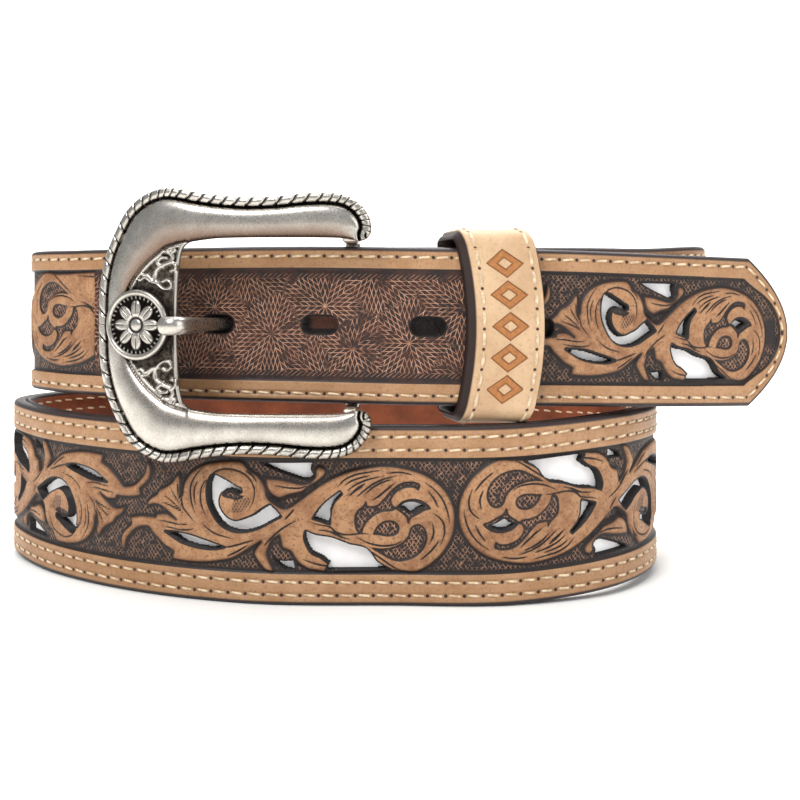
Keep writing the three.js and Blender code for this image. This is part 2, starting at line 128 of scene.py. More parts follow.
class Finish:
    def __init__(self, name):
        self.material = bpy.data.materials.new(name)
        self.material.use_nodes = True
        self.tree = self.material.node_tree
        self.tree.nodes.clear()

    def read(self, name):
        return Value(self.tree, addNode(self.tree, "ShaderNodeAttribute", {"attribute_name": name}).outputs["Fac"])

    def noise(self, scale, detail, rough=0.6):
        place = addNode(self.tree, "ShaderNodeTexCoord").outputs["Object"]
        settings = {"Scale": scale, "Detail": detail, "Roughness": rough}
        return Value(self.tree, addNode(self.tree, "ShaderNodeTexNoise", settings, {"Vector": place}).outputs["Fac"])

    def mix(self, share, first, second):
        node = addNode(self.tree, "ShaderNodeMix", {"data_type": "RGBA"})
        for place, value in ((0, share), (6, first), (7, second)):
            plug(node.inputs[place], value)
        return Value(self.tree, node.outputs[2])

    def bump(self, height, distance, strength, normal=None):
        node = addNode(self.tree, "ShaderNodeBump", {"Strength": strength, "Distance": distance})
        plug(node.inputs["Height"], height)
        if normal is not None:
            plug(node.inputs["Normal"], normal)
        return Value(self.tree, node.outputs[0])

    def close(self, **values):
        shader = addNode(self.tree, "ShaderNodeBsdfPrincipled")
        for name, value in values.items():
            plug(shader.inputs[inputNames[name]], value)
        addNode(self.tree, "ShaderNodeOutputMaterial", None, {"Surface": shader.outputs[0]})
        return self.material


inputNames = {
    "colour": "Base Color", "roughness": "Roughness", "metallic": "Metallic", "normal": "Normal",
    "bending": "IOR", "shine": "Specular IOR Level",
}
leatherShine = {"bending": 1.5, "shine": 0.4}


def smoothStep(low, high, value):
    share = np.clip((value - low) / (high - low), 0, 1)
    return share * share * (3 - 2 * share)


# Lengths along a line, from its first place on.
def lengthsOf(line):
    return np.concatenate([[0], np.cumsum(np.linalg.norm(np.diff(line, axis=0), axis=1))])


def unitLong(ways):
    return ways / np.linalg.norm(ways, axis=-1, keepdims=True)


def readAt(at, lengths, table, **options):
    return np.stack([np.interp(at, lengths, column, **options) for column in table.T], -1)


# A smooth curve through rows of places, with its headings; both ends lead on straight.
def curveThrough(rows, perBend):
    rows = np.vstack([2 * rows[0] - rows[1], rows, 2 * rows[-1] - rows[-2]])
    t = np.linspace(0, 1, perBend, endpoint=False)[:, None]
    places, headings = [], []
    for i in range(len(rows) - 3):
        p0, p1, p2, p3 = rows[i:i + 4]
        a, b, c = (math.sqrt(np.linalg.norm(q - p)) for p, q in ((p0, p1), (p1, p2), (p2, p3)))
        start = ((p1 - p0) / a - (p2 - p0) / (a + b) + (p2 - p1) / b) * b
        end = ((p2 - p1) / b - (p3 - p1) / (b + c) + (p3 - p2) / c) * b
        square = -3 * p1 + 3 * p2 - 2 * start - end
        cube = 2 * p1 - 2 * p2 + start + end
        places.append(p1 + start * t + square * t ** 2 + cube * t ** 3)
        headings.append(start + 2 * square * t + 3 * cube * t ** 2)
    return np.vstack(places + [rows[-2]]), np.vstack(headings + [end])


# The places and faces of a tube: rows of rings, joined up at its ends where it is a ring itself.
def tubeFaces(rows, count, ring=False):
    index = np.arange(rows * count).reshape(rows, count)
    along = np.vstack([index, index[:1]]) if ring else index
    beside = np.roll(along, -1, axis=1)
    return index, np.stack([along[:-1], along[1:], beside[1:], beside[:-1]], -1).reshape(-1, 4)


def addMesh(name, places, faceSets, attributes=None):
    mesh = bpy.data.meshes.new(name)
    places = np.asarray(places, np.float32).reshape(-1, 3)
    sizes = np.concatenate([np.full(len(faces), faces.shape[1], np.int32) for faces in faceSets])
    corners = np.concatenate([faces.ravel() for faces in faceSets]).astype(np.int32)
    mesh.vertices.add(len(places))
    mesh.vertices.foreach_set("co", places.ravel())
    mesh.loops.add(len(corners))
    mesh.loops.foreach_set("vertex_index", corners)
    mesh.polygons.add(len(sizes))
    mesh.polygons.foreach_set("loop_start", (np.cumsum(sizes) - sizes).astype(np.int32))
    mesh.polygons.foreach_set("loop_total", sizes)
    mesh.update(calc_edges=True)
    mesh.polygons.foreach_set("use_smooth", np.ones(len(sizes), bool))
    for key, values in (attributes or {}).items():
        layer = mesh.attributes.new(key, "FLOAT", "POINT")
        layer.data.foreach_set("value", np.asarray(values, np.float32).ravel())
    mesh.validate()
    obj = bpy.data.objects.new(name, mesh)
    bpy.context.scene.collection.objects.link(obj)
    return obj


# Closes a shape's open ends with sharp edges, and turns all its faces outward.
def closeShape(obj, ends=()):
    shape = bmesh.new()
    shape.from_mesh(obj.data)
    shape.verts.ensure_lookup_table()
    for end in ends:
        cap = shape.faces.new([shape.verts[i] for i in end])
        for edge in cap.edges:
            edge.smooth = False
    bmesh.ops.recalc_face_normals(shape, faces=shape.faces)
    shape.to_mesh(obj.data)
    shape.free()
    return obj


strap = {
    "bodyWidth": 41.5, "billetWidth": 37.0, "fieldHalf": 13.25, "seatHalf": 14.8,
    "overlayBottom": 1.45, "overlayTop": 4.6, "fieldTop": 4.15, "strapMiddle": 2.3,
    "halfWide": 87.0, "halfDeep": 53.0, "lift": 44.0, "middleX": 15.535, "middleY": -1.619,
    "noseLength": 12.2, "noseHalf": 1.6, "tipLength": 26, "outlineLength": 40, "outlineRows": 160,
    "widenFrom": 0.06, "widenTo": 0.11, "narrowFrom": 0.68, "narrowTo": 0.72,
    "samplesPerBend": 240,
}
# rows of the coil: shares of the half width, half depth and lift
course = [
    (0.155, -0.815, 1), (0.517, -0.8, 1), (0.897, -0.655, 1), (1.149, -0.264, 0.99),
    (1.126, 0.264, 0.92), (0.862, 0.698, 0.7), (0.46, 0.962, 0.38), (0, 1.047, 0.09),
    (-0.46, 0.943, 0), (-0.839, 0.557, 0.03), (-0.989, 0.057, 0.03), (-0.851, -0.34, 0.01),
    (-0.529, -0.745, 0), (-0.161, -0.972, 0), (0.207, -1, 0), (0.54, -1, 0.008),
    (0.828, -0.802, 0.04), (0.989, -0.34, 0.04), (0.954, 0.245, 0.02), (0.701, 0.679, 0),
    (0.287, 0.877, 0.12), (-0.138, 0.881, 0.4), (-0.529, 0.717, 0.72), (-0.816, 0.358, 0.93),
    (-0.902, -0.132, 1), (-0.713, -0.462, 1), (-0.356, -0.736, 1), (0, -0.896, 1),
    (0.316, -0.93, 0.99), (0.663, -0.889, 0.98), (1.011, -0.74, 0.96), (1.362, -0.53, 0.94),
]
courseRows = np.array(course, float) * [strap["halfWide"], strap["halfDeep"], strap["lift"]]
courseRows[:, 2] += strap["bodyWidth"] / 2
coursePlaces, courseHeadings = curveThrough(courseRows, strap["samplesPerBend"])
courseHeadings = unitLong(courseHeadings)
courseLengths = lengthsOf(coursePlaces)
strapLength = courseLengths[-1]
print("strap length", round(strapLength, 2))


def halfWidthAt(along):
    share = along / strapLength
    wide = smoothStep(strap["widenFrom"], strap["widenTo"], share)
    wide = wide - smoothStep(strap["narrowFrom"], strap["narrowTo"], share)
    plain = (strap["billetWidth"] + (strap["bodyWidth"] - strap["billetWidth"]) * wide) / 2
    nose = np.sqrt(np.clip((strapLength - along) / strap["noseLength"], 0, 1))
    return np.minimum(plain, np.maximum(plain * nose, strap["noseHalf"]))


# The field keeps its width; the borders take up the rest, and the nose narrows both.
def fitAcross(across, along):
    half = halfWidthAt(along)
    keep = strap["seatHalf"]
    nose = np.minimum(1, half / (strap["billetWidth"] / 2))
    border = half / nose - keep
    beyond = np.maximum(np.abs(across) - keep, 0)
    stretched = np.minimum(np.abs(across), keep) + beyond * border / (strap["bodyWidth"] / 2 - keep)
    return np.sign(across) * stretched * nose


# Lays flat leather on the coil: along it, across it as a real width, and out through its thickness.
def layOnCoil(along, width, out):
    held = np.clip(along, 0, strapLength)
    origin = readAt(held, courseLengths, coursePlaces)
    heading = unitLong(readAt(held, courseLengths, courseHeadings))
    origin += heading * (along - held)[..., None]
    level = np.hypot(heading[..., 0], heading[..., 1])
    rise = 1 / level
    origin[..., 2] = np.maximum(origin[..., 2], halfWidthAt(along) * rise)
    proud = out - strap["strapMiddle"]
    x = origin[..., 0] + heading[..., 1] / level * proud - strap["middleX"]
    y = origin[..., 1] - heading[..., 0] / level * proud - strap["middleY"]
    z = origin[..., 2] + rise * width
    return np.stack([x, y, z], -1) / 1000


# Chart units run right and down; 320.4 of them are one floral unit of 78 mm, 57 are half the field.
unit = {
    "left": -48.0, "span": 320.4, "length": 78.0, "middle": 55.5, "slope": 0.0175, "halfSpan": 57.0,
    "step": 0.2, "over": 26.0,
}
gapShapes = [
    [(38.5, 18.1), (34.8, 25.5), (33.7, 36.6), (35.2, 46.8), (39.4, 56.1), (45, 64.4), (52.4, 70.4), (61.6, 73.6),
     (72.7, 73.6), (83.8, 70.4), (94.9, 64.4), (106.5, 57.9), (101.4, 51.4), (95.4, 46.3), (87.5, 51.4), (80.1, 57),
     (71.8, 60.7), (63.5, 63.5), (55.1, 60.7), (49.6, 55.1), (46.3, 48.7), (45.9, 41.3), (48.7, 34.8), (54.2, 32.5),
     (59.8, 33.4), (65.3, 35.7), (69, 33.9), (68.1, 30.6), (63.5, 28.8), (57.9, 25.1), (50.5, 21.4), (44, 18.1)],
    [(-12, 77.2), (1, 77.6), (14, 79), (27, 82.4), (42, 86.6), (52, 90), (39, 92.3), (23, 91.2), (7, 87.6), (-4, 82)],
    [(98.6, 98.1), (102.3, 101.4), (109.7, 102.8), (117.6, 102.3), (119.4, 112.5), (110.6, 110.2), (104.2, 106)],
    [(86.1, 4.7), (96.8, 5.2), (136, 5.2), (133.8, 11.7), (136.5, 17.2), (133.8, 20.9), (127.3, 21.4), (115.3, 17.2),
     (103.2, 12.6), (94.9, 8.9)],
    [(136.2, 60.1), (142.4, 50.5), (152, 40.9), (161.6, 33.7), (163.5, 36.1), (155.8, 44.7), (153, 52.4), (152, 65.8)],
    [(129.6, 72.2), (138.6, 76.3), (153.9, 79.2), (170.2, 85.9), (183.6, 89.2), (191.2, 95.5), (197, 104),
     (209.4, 111.5), (178, 112.2), (148.2, 112.2), (151.5, 105), (143.4, 98.3), (136, 94.7), (131, 87.5),
     (128.2, 78.3)],
    [(217.5, 50), (222.8, 46.7), (231.4, 45.2), (242.4, 49.5), (235.2, 52.4), (228, 56.2), (223.3, 52.4)],
]
tanShapes = [
    [(-54.2, 66), (-42, 63.6), (-23.4, 63.6), (-22.5, 60.6), (-17, 59.5), (-10.9, 59.5), (-4.6, 62.4), (-0.2, 64.9),
     (-5.5, 60.4), (-10.9, 56.4), (-16.3, 52.9), (-22.5, 51.1), (-27.9, 51.4), (-33.2, 53.5), (-33.7, 49.5),
     (-29.6, 44.6), (-22.5, 40.1), (-18.9, 35.2), (-10.9, 31.2), (-4.6, 26.7), (-0.6, 20.9), (3.4, 17.8), (4.6, 24.5),
     (4, 34.3), (5, 41.4), (6.8, 38.8), (7.4, 32.5), (9.2, 25.4), (14.1, 18.2), (21.3, 12), (33.8, 6.6), (44, 4.6),
     (54.2, 3.5), (69, 4.3), (76.4, 12.6), (83.8, 17.2), (88.4, 22.8), (91.7, 30.2), (93.1, 38.5), (98, 44),
     (108, 50), (114.3, 48.7), (121, 44), (128.2, 38.5), (142.4, 27.5), (158.7, 18.4), (173, 13.2), (187.4, 10.3),
     (203.7, 8.9), (216.1, 10.3), (230.4, 13.7), (241.9, 18), (252.5, 24.7), (261.1, 33.3), (266.8, 42.8),
     (270.6, 54.3), (271.1, 65.8), (269.7, 76.3), (265.8, 86.8), (258.2, 98.3), (247.7, 107.9), (238.1, 113.6),
     (229.5, 115), (221.8, 114.1), (209.4, 113), (178, 113.5), (148, 113.5), (140, 112), (131.9, 110.6), (124.5, 106),
     (119, 99.5), (115.3, 93.1), (107.4, 89.4), (106, 83.8), (104.6, 76.9), (97.7, 82), (94.9, 89.4), (93.1, 94.9),
     (94.9, 101.4), (99.5, 111.6), (97.7, 112.9), (91.2, 111.6), (83.8, 102.3), (80.1, 94), (87.5, 83.3),
     (76.4, 90.3), (69, 95.4), (58.8, 101.4), (46.8, 104.3), (32, 106.5), (13.5, 107.1), (-5, 105.5), (-4.2, 101.3),
     (-2.9, 97.7), (-8.2, 95), (-13.6, 92.3), (-20.7, 86.1), (-27, 80.7), (-32.3, 74.9), (-40.4, 75.4), (-47.5, 78),
     (-53.8, 83.4), (-58.2, 88.8), (-60.4, 93.2), (-61.6, 99.9), (-63.6, 101.9), (-65.8, 97.7), (-66.7, 91.4),
     (-64.9, 84.3), (-59.1, 78), (-53.3, 73.1), (-54.2, 69.1)],
    [(91, 20), (104, 21), (115, 23.5), (126, 26), (133, 24.5), (138, 19), (138.5, 12), (141.5, 8.4), (147.2, 11.3),
     (148.2, 16), (144.4, 20.8), (137.7, 25.5), (131, 29.5), (126.4, 33.9), (114.3, 36.6), (105.1, 39.9),
     (97.7, 36.6), (93.1, 30.2)],
]
sunkShapes = [
    [(186.9, 41.4), (183.6, 47.6), (178.3, 52.4), (175.4, 57.2), (175, 64.8), (176.4, 72), (180, 76.1), (183.1, 74.9),
     (184.5, 69.6), (188.4, 63.9), (195, 58.1), (202.7, 54.8), (211.3, 54.3), (216.1, 51.4), (212.3, 48.1),
     (210.8, 43.8), (213.2, 38.5), (218, 34.2), (225.7, 31.4), (233.3, 31.9), (236.2, 35.2), (238.1, 31.4),
     (238.1, 27.5), (232.4, 25.1), (223.3, 25.1), (215.6, 28.5), (208.4, 35.2), (202.7, 41.9), (197, 47.6),
     (191.2, 48.6), (187.6, 48.6)],
    [(213.2, 51.4), (216.1, 48.6), (221.8, 43.8), (231.4, 41.9), (240, 43.8), (246.7, 48.6), (249.1, 52.9),
     (242.9, 54.3), (236.2, 58.1), (229.5, 62), (227.6, 67.7), (225.7, 65.8), (224.7, 61), (219.9, 56.2)],
    [(192.2, 77.3), (196, 69.6), (201.7, 64.4), (208.4, 62.9), (215.1, 64.8), (218.5, 69.6), (217.5, 75.4),
     (213.2, 78.7), (206.5, 79.4), (198.9, 78)],
    [(184.5, 86.8), (191.2, 89.2), (200.8, 90.7), (212.3, 89.2), (220.9, 84.9), (226.6, 78.2), (228.5, 71.5),
     (232.4, 67.7), (238.1, 67.2), (242.9, 71.5), (245.3, 79.2), (243.8, 87.8), (239.1, 95.4), (231.4, 101.2),
     (221.8, 104.1), (213.2, 103.6), (204.6, 99.3), (197, 94.5), (189.3, 89.7)],
    [(48.7, 38.5), (50.5, 34.8), (57.9, 33.4), (65.3, 36.6), (71.8, 37.6), (70, 40), (62.5, 43.1), (59.8, 41.7),
     (52.4, 40.3)],
    [(93.1, 38.5), (105.1, 41.7), (114.3, 38.5), (128.2, 35.7), (140, 25.5), (140, 29.7), (128.2, 38.5),
     (116.2, 47.7), (111.6, 48.7), (104.2, 45), (96.8, 41.3)],
]
hatchShapes = [
    [(62.5, 41.3), (78.3, 39.4), (76.4, 46.8), (69, 54.2), (58.8, 55.1), (59.8, 46.8)],
]
cutLines = [
    [(168, 33.5), (178, 26.5), (190, 22), (200, 19.8)],
    [(184, 38.5), (192, 31.2), (202, 25.6), (211, 22.8)],
    [(197.5, 41), (204, 34.5), (211, 29.2)],
    [(169.5, 39), (176, 33.6), (183.5, 29.2)],
    [(206, 16.6), (219, 15.8), (231, 18.6)],
    [(245.5, 34.5), (251.5, 43), (255.2, 51.5)],
    [(249.5, 66), (251, 76), (247.6, 86)],
    [(256, 84), (248.5, 94), (238.5, 103)],
    [(141, 71.6), (152, 73.4), (162, 78.6), (172, 81.8)],
    [(33, 22), (27.8, 31), (26.6, 42), (28.8, 52), (34, 61)],
    [(72, 12), (79, 17.4), (84.4, 25)],
    [(90, 88), (98, 78.6), (109, 69), (121, 62)],
    [(54, 99), (64, 94), (75, 86.8)],
    [(112, 102), (119, 106.5), (128, 108.6)],
    [(9, 58.5), (1, 54), (-9, 50), (-18, 47.5)],
    [(6.5, 55), (-2, 48.5), (-9, 43.5), (-14, 41)],
    [(5.5, 51), (0.5, 44), (-3.5, 37.5), (-6, 33)],
    [(5.2, 46.5), (2.6, 39.5), (1.4, 32), (1, 27)],
    [(14, 69), (2, 69.5), (-12, 67.5), (-24, 67)],
    [(20, 73), (10, 75), (-4, 74), (-16, 72)],
    [(24, 24), (20.5, 32), (20, 40), (21.5, 49)],
    [(126, 100), (138, 105), (156, 108.5), (176, 109.5)],
    [(100, 27), (112, 29.5), (124, 30), (131, 27.5)],
    [(98, 98), (101, 104), (104, 109)],
    [(29.2, 35.7), (32, 27.4), (36.6, 20), (43.1, 14), (52.4, 11.2), (61.6, 12.1), (70.9, 15.8), (77.3, 21.8),
     (81, 30.2), (81, 38.5), (78.7, 46.8), (74.6, 53.3)],
    [(5.2, 40), (6.6, 45), (8, 52.1), (13.2, 58.4), (20.8, 66.9)],
    [(30.2, 9.7), (22.1, 18.2), (16.8, 28), (15.9, 36.1), (16.8, 45), (19, 53), (21.7, 58.6)],
    [(27.1, 65.5), (33.8, 71.8), (41.8, 76.7), (50.5, 79.2), (60.7, 81.5)],
    [(46.8, 88.9), (54.2, 89.8), (65.3, 87), (74.6, 83.8), (81.5, 81.5)],
    [(87.5, 83.3), (82, 90.3), (79.6, 94.4)],
    [(93.1, 38.5), (99.5, 41.3), (106, 46.8), (114.3, 52.4)],
    [(119, 50.5), (109.7, 61.6)],
    [(158.7, 30.4), (165.4, 22.7), (175.9, 17.5), (189.3, 15.1), (202.2, 13.2)],
    [(165.4, 28.5), (172.1, 23.7), (181.7, 20.4), (191.2, 18.4)],
    [(173.5, 34.7), (178.8, 30.4), (186, 26.1)],
    [(176.9, 40), (183.6, 34.2), (193.1, 27), (204.6, 21.8), (218, 18.9)],
    [(192.2, 43.3), (199.8, 38), (206.5, 32.3), (214.7, 25.6)],
    [(241, 25.1), (249.6, 31.4), (257.2, 40), (262, 49.5), (264.9, 60.1), (265.8, 68.7)],
    [(249.1, 56.2), (255.3, 60.1), (260.1, 66.7), (261.1, 76.3), (257.7, 87.8)],
    [(130, 62), (139.6, 65.8), (152, 68.7), (158.7, 74.4), (168.3, 76.8), (183.6, 75.8), (192.2, 77.5)],
    [(175.9, 78.2), (187.4, 84.9), (200.8, 88.3), (214.2, 87.3), (221.8, 83)],
    [(183.6, 89.2), (197, 98.3), (211.3, 108.8), (219.9, 113.6)],
]
cutWidth = 0.36  # at a line's middle


def toFlat(points):
    chart = np.array(points, float)
    along = (chart[:, 0] - unit["left"]) * unit["length"] / unit["span"]
    across = unit["middle"] + unit["slope"] * chart[:, 0] - chart[:, 1]
    return np.stack([along, across * strap["fieldHalf"] / unit["halfSpan"]], 1)


# Runs a smooth curve through charted points, with the sharp corners kept.
def smoothLine(points, closed, pieces=5, sharp=0.35):
    count = len(points)
    at = lambda i: points[i % count] if closed else points[min(max(i, 0), count - 1)]
    tangents = []
    for i in range(count):
        before, after = at(i) - at(i - 1), at(i + 1) - at(i)
        a, b = np.linalg.norm(before), np.linalg.norm(after)
        if a > 0 and b > 0 and (before @ after) / (a * b) > sharp:
            tangents.append((before / a + after / b) / 2 * min(a, b))
        else:
            tangents.append(np.zeros(2))
    line = []
    for i in range(count if closed else count - 1):
        p, q, m, n = at(i), at(i + 1), tangents[i], tangents[(i + 1) % count]
        for t in np.arange(pieces) / pieces:
            ends = (2 * t ** 3 - 3 * t ** 2 + 1) * p + (3 * t ** 2 - 2 * t ** 3) * q
            line.append(ends + (t ** 3 - 2 * t ** 2 + t) * m + (t ** 3 - t ** 2) * n)
    return np.array(line if closed else line + [points[-1]])


# Distance from every grid place to a line, the share of the line where it is nearest, and for a
# closed line whether the place is inside it.
def distanceTo(grid, line, closed):
    ends = np.roll(line, -1, axis=0) if closed else line[1:]
    starts = line if closed else line[:-1]
    best = np.full(grid.shape[:-1], np.inf)
    share = np.zeros(grid.shape[:-1])
    inside = np.zeros(grid.shape[:-1], bool)
    for k, (a, b) in enumerate(zip(starts, ends)):
        way = b - a
        size = way @ way
        if size == 0:
            continue
        t = np.clip(((grid - a) @ way) / size, 0, 1)
        gap = np.sum((grid - a - t[..., None] * way) ** 2, -1)
        nearer = gap < best
        best[nearer] = gap[nearer]
        share[nearer] = (k + t[nearer]) / len(starts)
        if closed and a[1] != b[1]:
            x, level = grid[..., 0], grid[..., 1]
            inside ^= ((a[1] > level) != (b[1] > level)) & (x < way[0] * (level - a[1]) / way[1] + a[0])
    return np.sqrt(best), share, inside


# How far places lie inside shapes or drawn lines, worked out only near each.
def fieldOf(grid, shapes, closed, reach):
    field = np.full(grid.shape[:-1], -reach)
    for shape in shapes:
        line = smoothLine(toFlat(shape), closed)
        low, high = line.min(0) - reach, line.max(0) + reach
        rows = np.where((grid[:, 0, 0] >= low[0]) & (grid[:, 0, 0] <= high[0]))[0]
        columns = np.where((grid[0, :, 1] >= low[1]) & (grid[0, :, 1] <= high[1]))[0]
        part = np.ix_(rows, columns)
        distance, share, inside = distanceTo(grid[part], line, closed)
        if closed:
            depth = np.where(inside, distance, -distance)
        else:
            taper = np.sqrt(np.clip(np.sin(math.pi * share), 0, 1))
            depth = cutWidth / 2 * (0.25 + 1.15 * taper) - distance
        field[part] = np.maximum(field[part], depth)
    return field


def unitFields():
    half = strap["fieldHalf"]
    along = np.arange(-unit["over"], unit["length"] + unit["over"] + 1e-6, unit["step"])
    across = np.linspace(-half, half, int(round(2 * half / unit["step"])) + 1)
    grid = np.stack(np.meshgrid(along, across, indexing="ij"), -1)
    shapes = {"tan": tanShapes, "gap": gapShapes, "sunk": sunkShapes, "hatch": hatchShapes}
    charted = {name: fieldOf(grid, shapes[name], True, 3.0) for name in shapes}
    charted["cut"] = fieldOf(grid, cutLines, False, 2.0)
    # the neighbours on both sides are this unit turned half round at the joints
    inner = int(round(unit["over"] / unit["step"]))
    size = int(round(unit["length"] / unit["step"]))
    for name, field in charted.items():
        own = field[inner:inner + size + 1].copy()
        turned = field[::-1, ::-1]
        own[:inner + 1] = np.maximum(own[:inner + 1], turned[inner + size:][:inner + 1])
        own[-inner - 1:] = np.maximum(own[-inner - 1:], turned[:inner + 1])
        charted[name] = own
    return charted


layout = {
    "joint": 494.716, "unitsBefore": 6, "unitsAfter": 4, "piercedFrom": 104.0,
    "billetStart": 947.79, "billetScale": 0.8, "billetSpread": 0.95, "starFrom": 812.0, "starTo": 949.0, "overlap": 24,
    "holes": [846.4, 871.8, 897.2, 922.6, 948.0], "holeLength": 8.6, "holeHeight": 4.5,
}
holeReach, holeRadius = (layout["holeLength"] - layout["holeHeight"]) / 2, layout["holeHeight"] / 2
fields = unitFields()
farOut = -2.0
print("floral unit charted")


def readField(name, u, v):
    table = fields[name]
    i = np.clip(u / unit["step"], 0, table.shape[0] - 1.001)
    j = (v + strap["fieldHalf"]) / (2 * strap["fieldHalf"]) * (table.shape[1] - 1)
    j = np.clip(j, 0, table.shape[1] - 1.001)
    a, b = i.astype(int), j.astype(int)
    i, j = i - a, j - b
    near = table[a, b] * (1 - i) * (1 - j) + table[a + 1, b] * i * (1 - j)
    return near + table[a, b + 1] * (1 - i) * j + table[a + 1, b + 1] * i * j


# The tooling's distances at places of the strap: along it and across its field.
def toolingAt(along, across):
    place = (along - layout["joint"]) / unit["length"]
    index = np.floor(place).astype(int)
    local = (place - index) * unit["length"]
    turned = index % 2 == 0
    u = np.where(turned, unit["length"] - local, local)
    v = np.where(turned, -across, across)
    floral = (index >= -layout["unitsBefore"]) & (along < layout["starFrom"] + layout["overlap"])
    out = {name: np.where(floral, readField(name, u, v), farOut) for name in fields}
    piercedTo = layout["joint"] + layout["unitsAfter"] * unit["length"]
    out["gap"] = np.where((along > layout["piercedFrom"]) & (along < piercedTo), out["gap"], farOut)
    # the free end has one smaller unit
    scale = layout["billetScale"]
    billet = along > layout["starTo"]
    u = np.maximum(along - layout["billetStart"], 0) / scale
    within = billet & (u < unit["length"] + 4)
    for name in out:
        own = readField(name, np.minimum(u, unit["length"]), across / layout["billetSpread"]) * scale
        out[name] = np.where(billet, np.where(within, own, farOut), out[name])
    return out


# Centres of the stamped stars between the buckle's bow and the free end's flowers, and half stars at
# the borders: along the strap and across it.
starRows = [
    (831, 5), (845, -3.5), (858, 4.5), (871, 4), (885.5, -2.3), (898.6, 4.4), (918.2, -4), (931, 4.5), (944, -3.5),
    (838, -13), (851, 13.5), (864.5, -11.5), (879, 13), (898, -12.5), (910, 12.5), (905, -5.5), (931.5, -13),
    (942, 13.5),
]


def starsAt(along, across):
    ways = [(along - u, across - v) for u, v in starRows]
    nearest = np.argmin([np.hypot(x, y) for x, y in ways], axis=0)
    return (np.choose(nearest, [way[k] for way in ways]) for k in (0, 1))


def edgeDistance(along, width):
    distance = halfWidthAt(along) - np.abs(width)
    near = along > strapLength - strap["tipLength"]
    if near.any():
        a = np.linspace(strapLength - strap["outlineLength"], strapLength, strap["outlineRows"])
        outline = np.vstack([np.stack([a, halfWidthAt(a)], 1), [[strapLength, 0]]])
        best = distanceTo(np.stack([along[near], np.abs(width[near])], -1), outline, False)[0]
        distance[near] = best * np.sign(np.maximum(distance[near], 0) + 1e-9)
    return distance


def holeDistance(along, across):
    best = np.full(along.shape, -9.0)
    for place in layout["holes"]:
        beside = np.maximum(np.abs(along - place) - holeReach, 0)
        best = np.maximum(best, holeRadius - np.hypot(beside, across))
    return best


stitching = {"bodyInsets": [2.5, 5.5], "billetInsets": [2.3], "pitch": 4.2, "tipRows": 500}
faceThread = {
    "rings": 6, "sides": 7, "share": 0.84, "wide": 0.31, "high": 0.27, "slant": 0.16, "lift": 0, "bend": 3,
    "sink": 0.35,
}
backThread = {**faceThread, "rings": 5, "sides": 5}


# The line that keeps one distance from the strap's outline, round the free end too.
def insetLine(inset):
    tip = strapLength - strap["tipLength"]
    along = np.concatenate([np.arange(0, tip, 1.0), np.linspace(tip, strapLength, stitching["tipRows"])])
    outline = np.vstack([np.stack([along, halfWidthAt(along)], 1), [[strapLength, 0]]])
    ahead = unitLong(np.gradient(outline, axis=0))
    line = outline + inset * np.stack([ahead[:, 1], -ahead[:, 0]], 1)
    line = line[(edgeDistance(line[:, 0], line[:, 1]) > inset - 0.05) & (line[:, 1] >= 0)]
    line = np.vstack([line, [[line[-1, 0], 0]]])
    return line, lengthsOf(line)


# How far along the outer stitch row a place of the face lies.
def stitchRun(along, width):
    line, lengths = insetLine(stitching["billetInsets"][0])
    run = np.interp(along, line[:, 0], lengths)
    near = along > strapLength - 24
    if near.any():
        places = np.stack([along[near], np.abs(width[near])], -1)
        tip = line[:, 0] > strapLength - 27
        away = np.linalg.norm(places[:, None] - line[tip][None], axis=2)
        run[near] = lengths[tip][np.argmin(away, axis=1)]
    return run


overlay = {
    "border": [13.5, 13.75, 14.1, 14.8, 15.8, 16.8, 17.8, 18.6, 19.3, 19.7, 20.0, 20.25, 20.45, 20.6, 20.7, 20.75],
    "sides": [(1, 3.1), (1, 2.3), (0.996, 1.75), (0.985, strap["overlayBottom"])], "backHalf": 0.9, "backColumns": 7,
    "pullReach": 0.55, "gapProbe": 0.08, "holeProbe": 0.05, "leastSlope": 0.3, "atWall": -1e-3,
    "noseBorder": 5.1, "noseThinner": 2.4, "tanRise": 0.5, "groundDrop": 0.3, "cutDepth": 0.42,
    "sunkDepth": 0.42, "hatchDepth": 0.12, "starDepth": 0.05, "wellFloor": 1.62, "edgeRound": 1.15, "plainTan": 1.5,
}
# from, to, step along and step across
stretches = [
    (0, 170, 0.6, 0.55), (170, 340, 0.55, 0.5), (340, 430, 0.4, 0.38), (430, 590, 0.28, 0.28),
    (590, 760, 0.55, 0.5), (760, 890, 0.36, 0.33), (890, strapLength, 0.28, 0.28),
]


def slopeOf(measure, u, v, probe):
    byU = (measure(u + probe, v) - measure(u - probe, v)) / (2 * probe)
    return byU, (measure(u, v + probe) - measure(u, v - probe)) / (2 * probe)


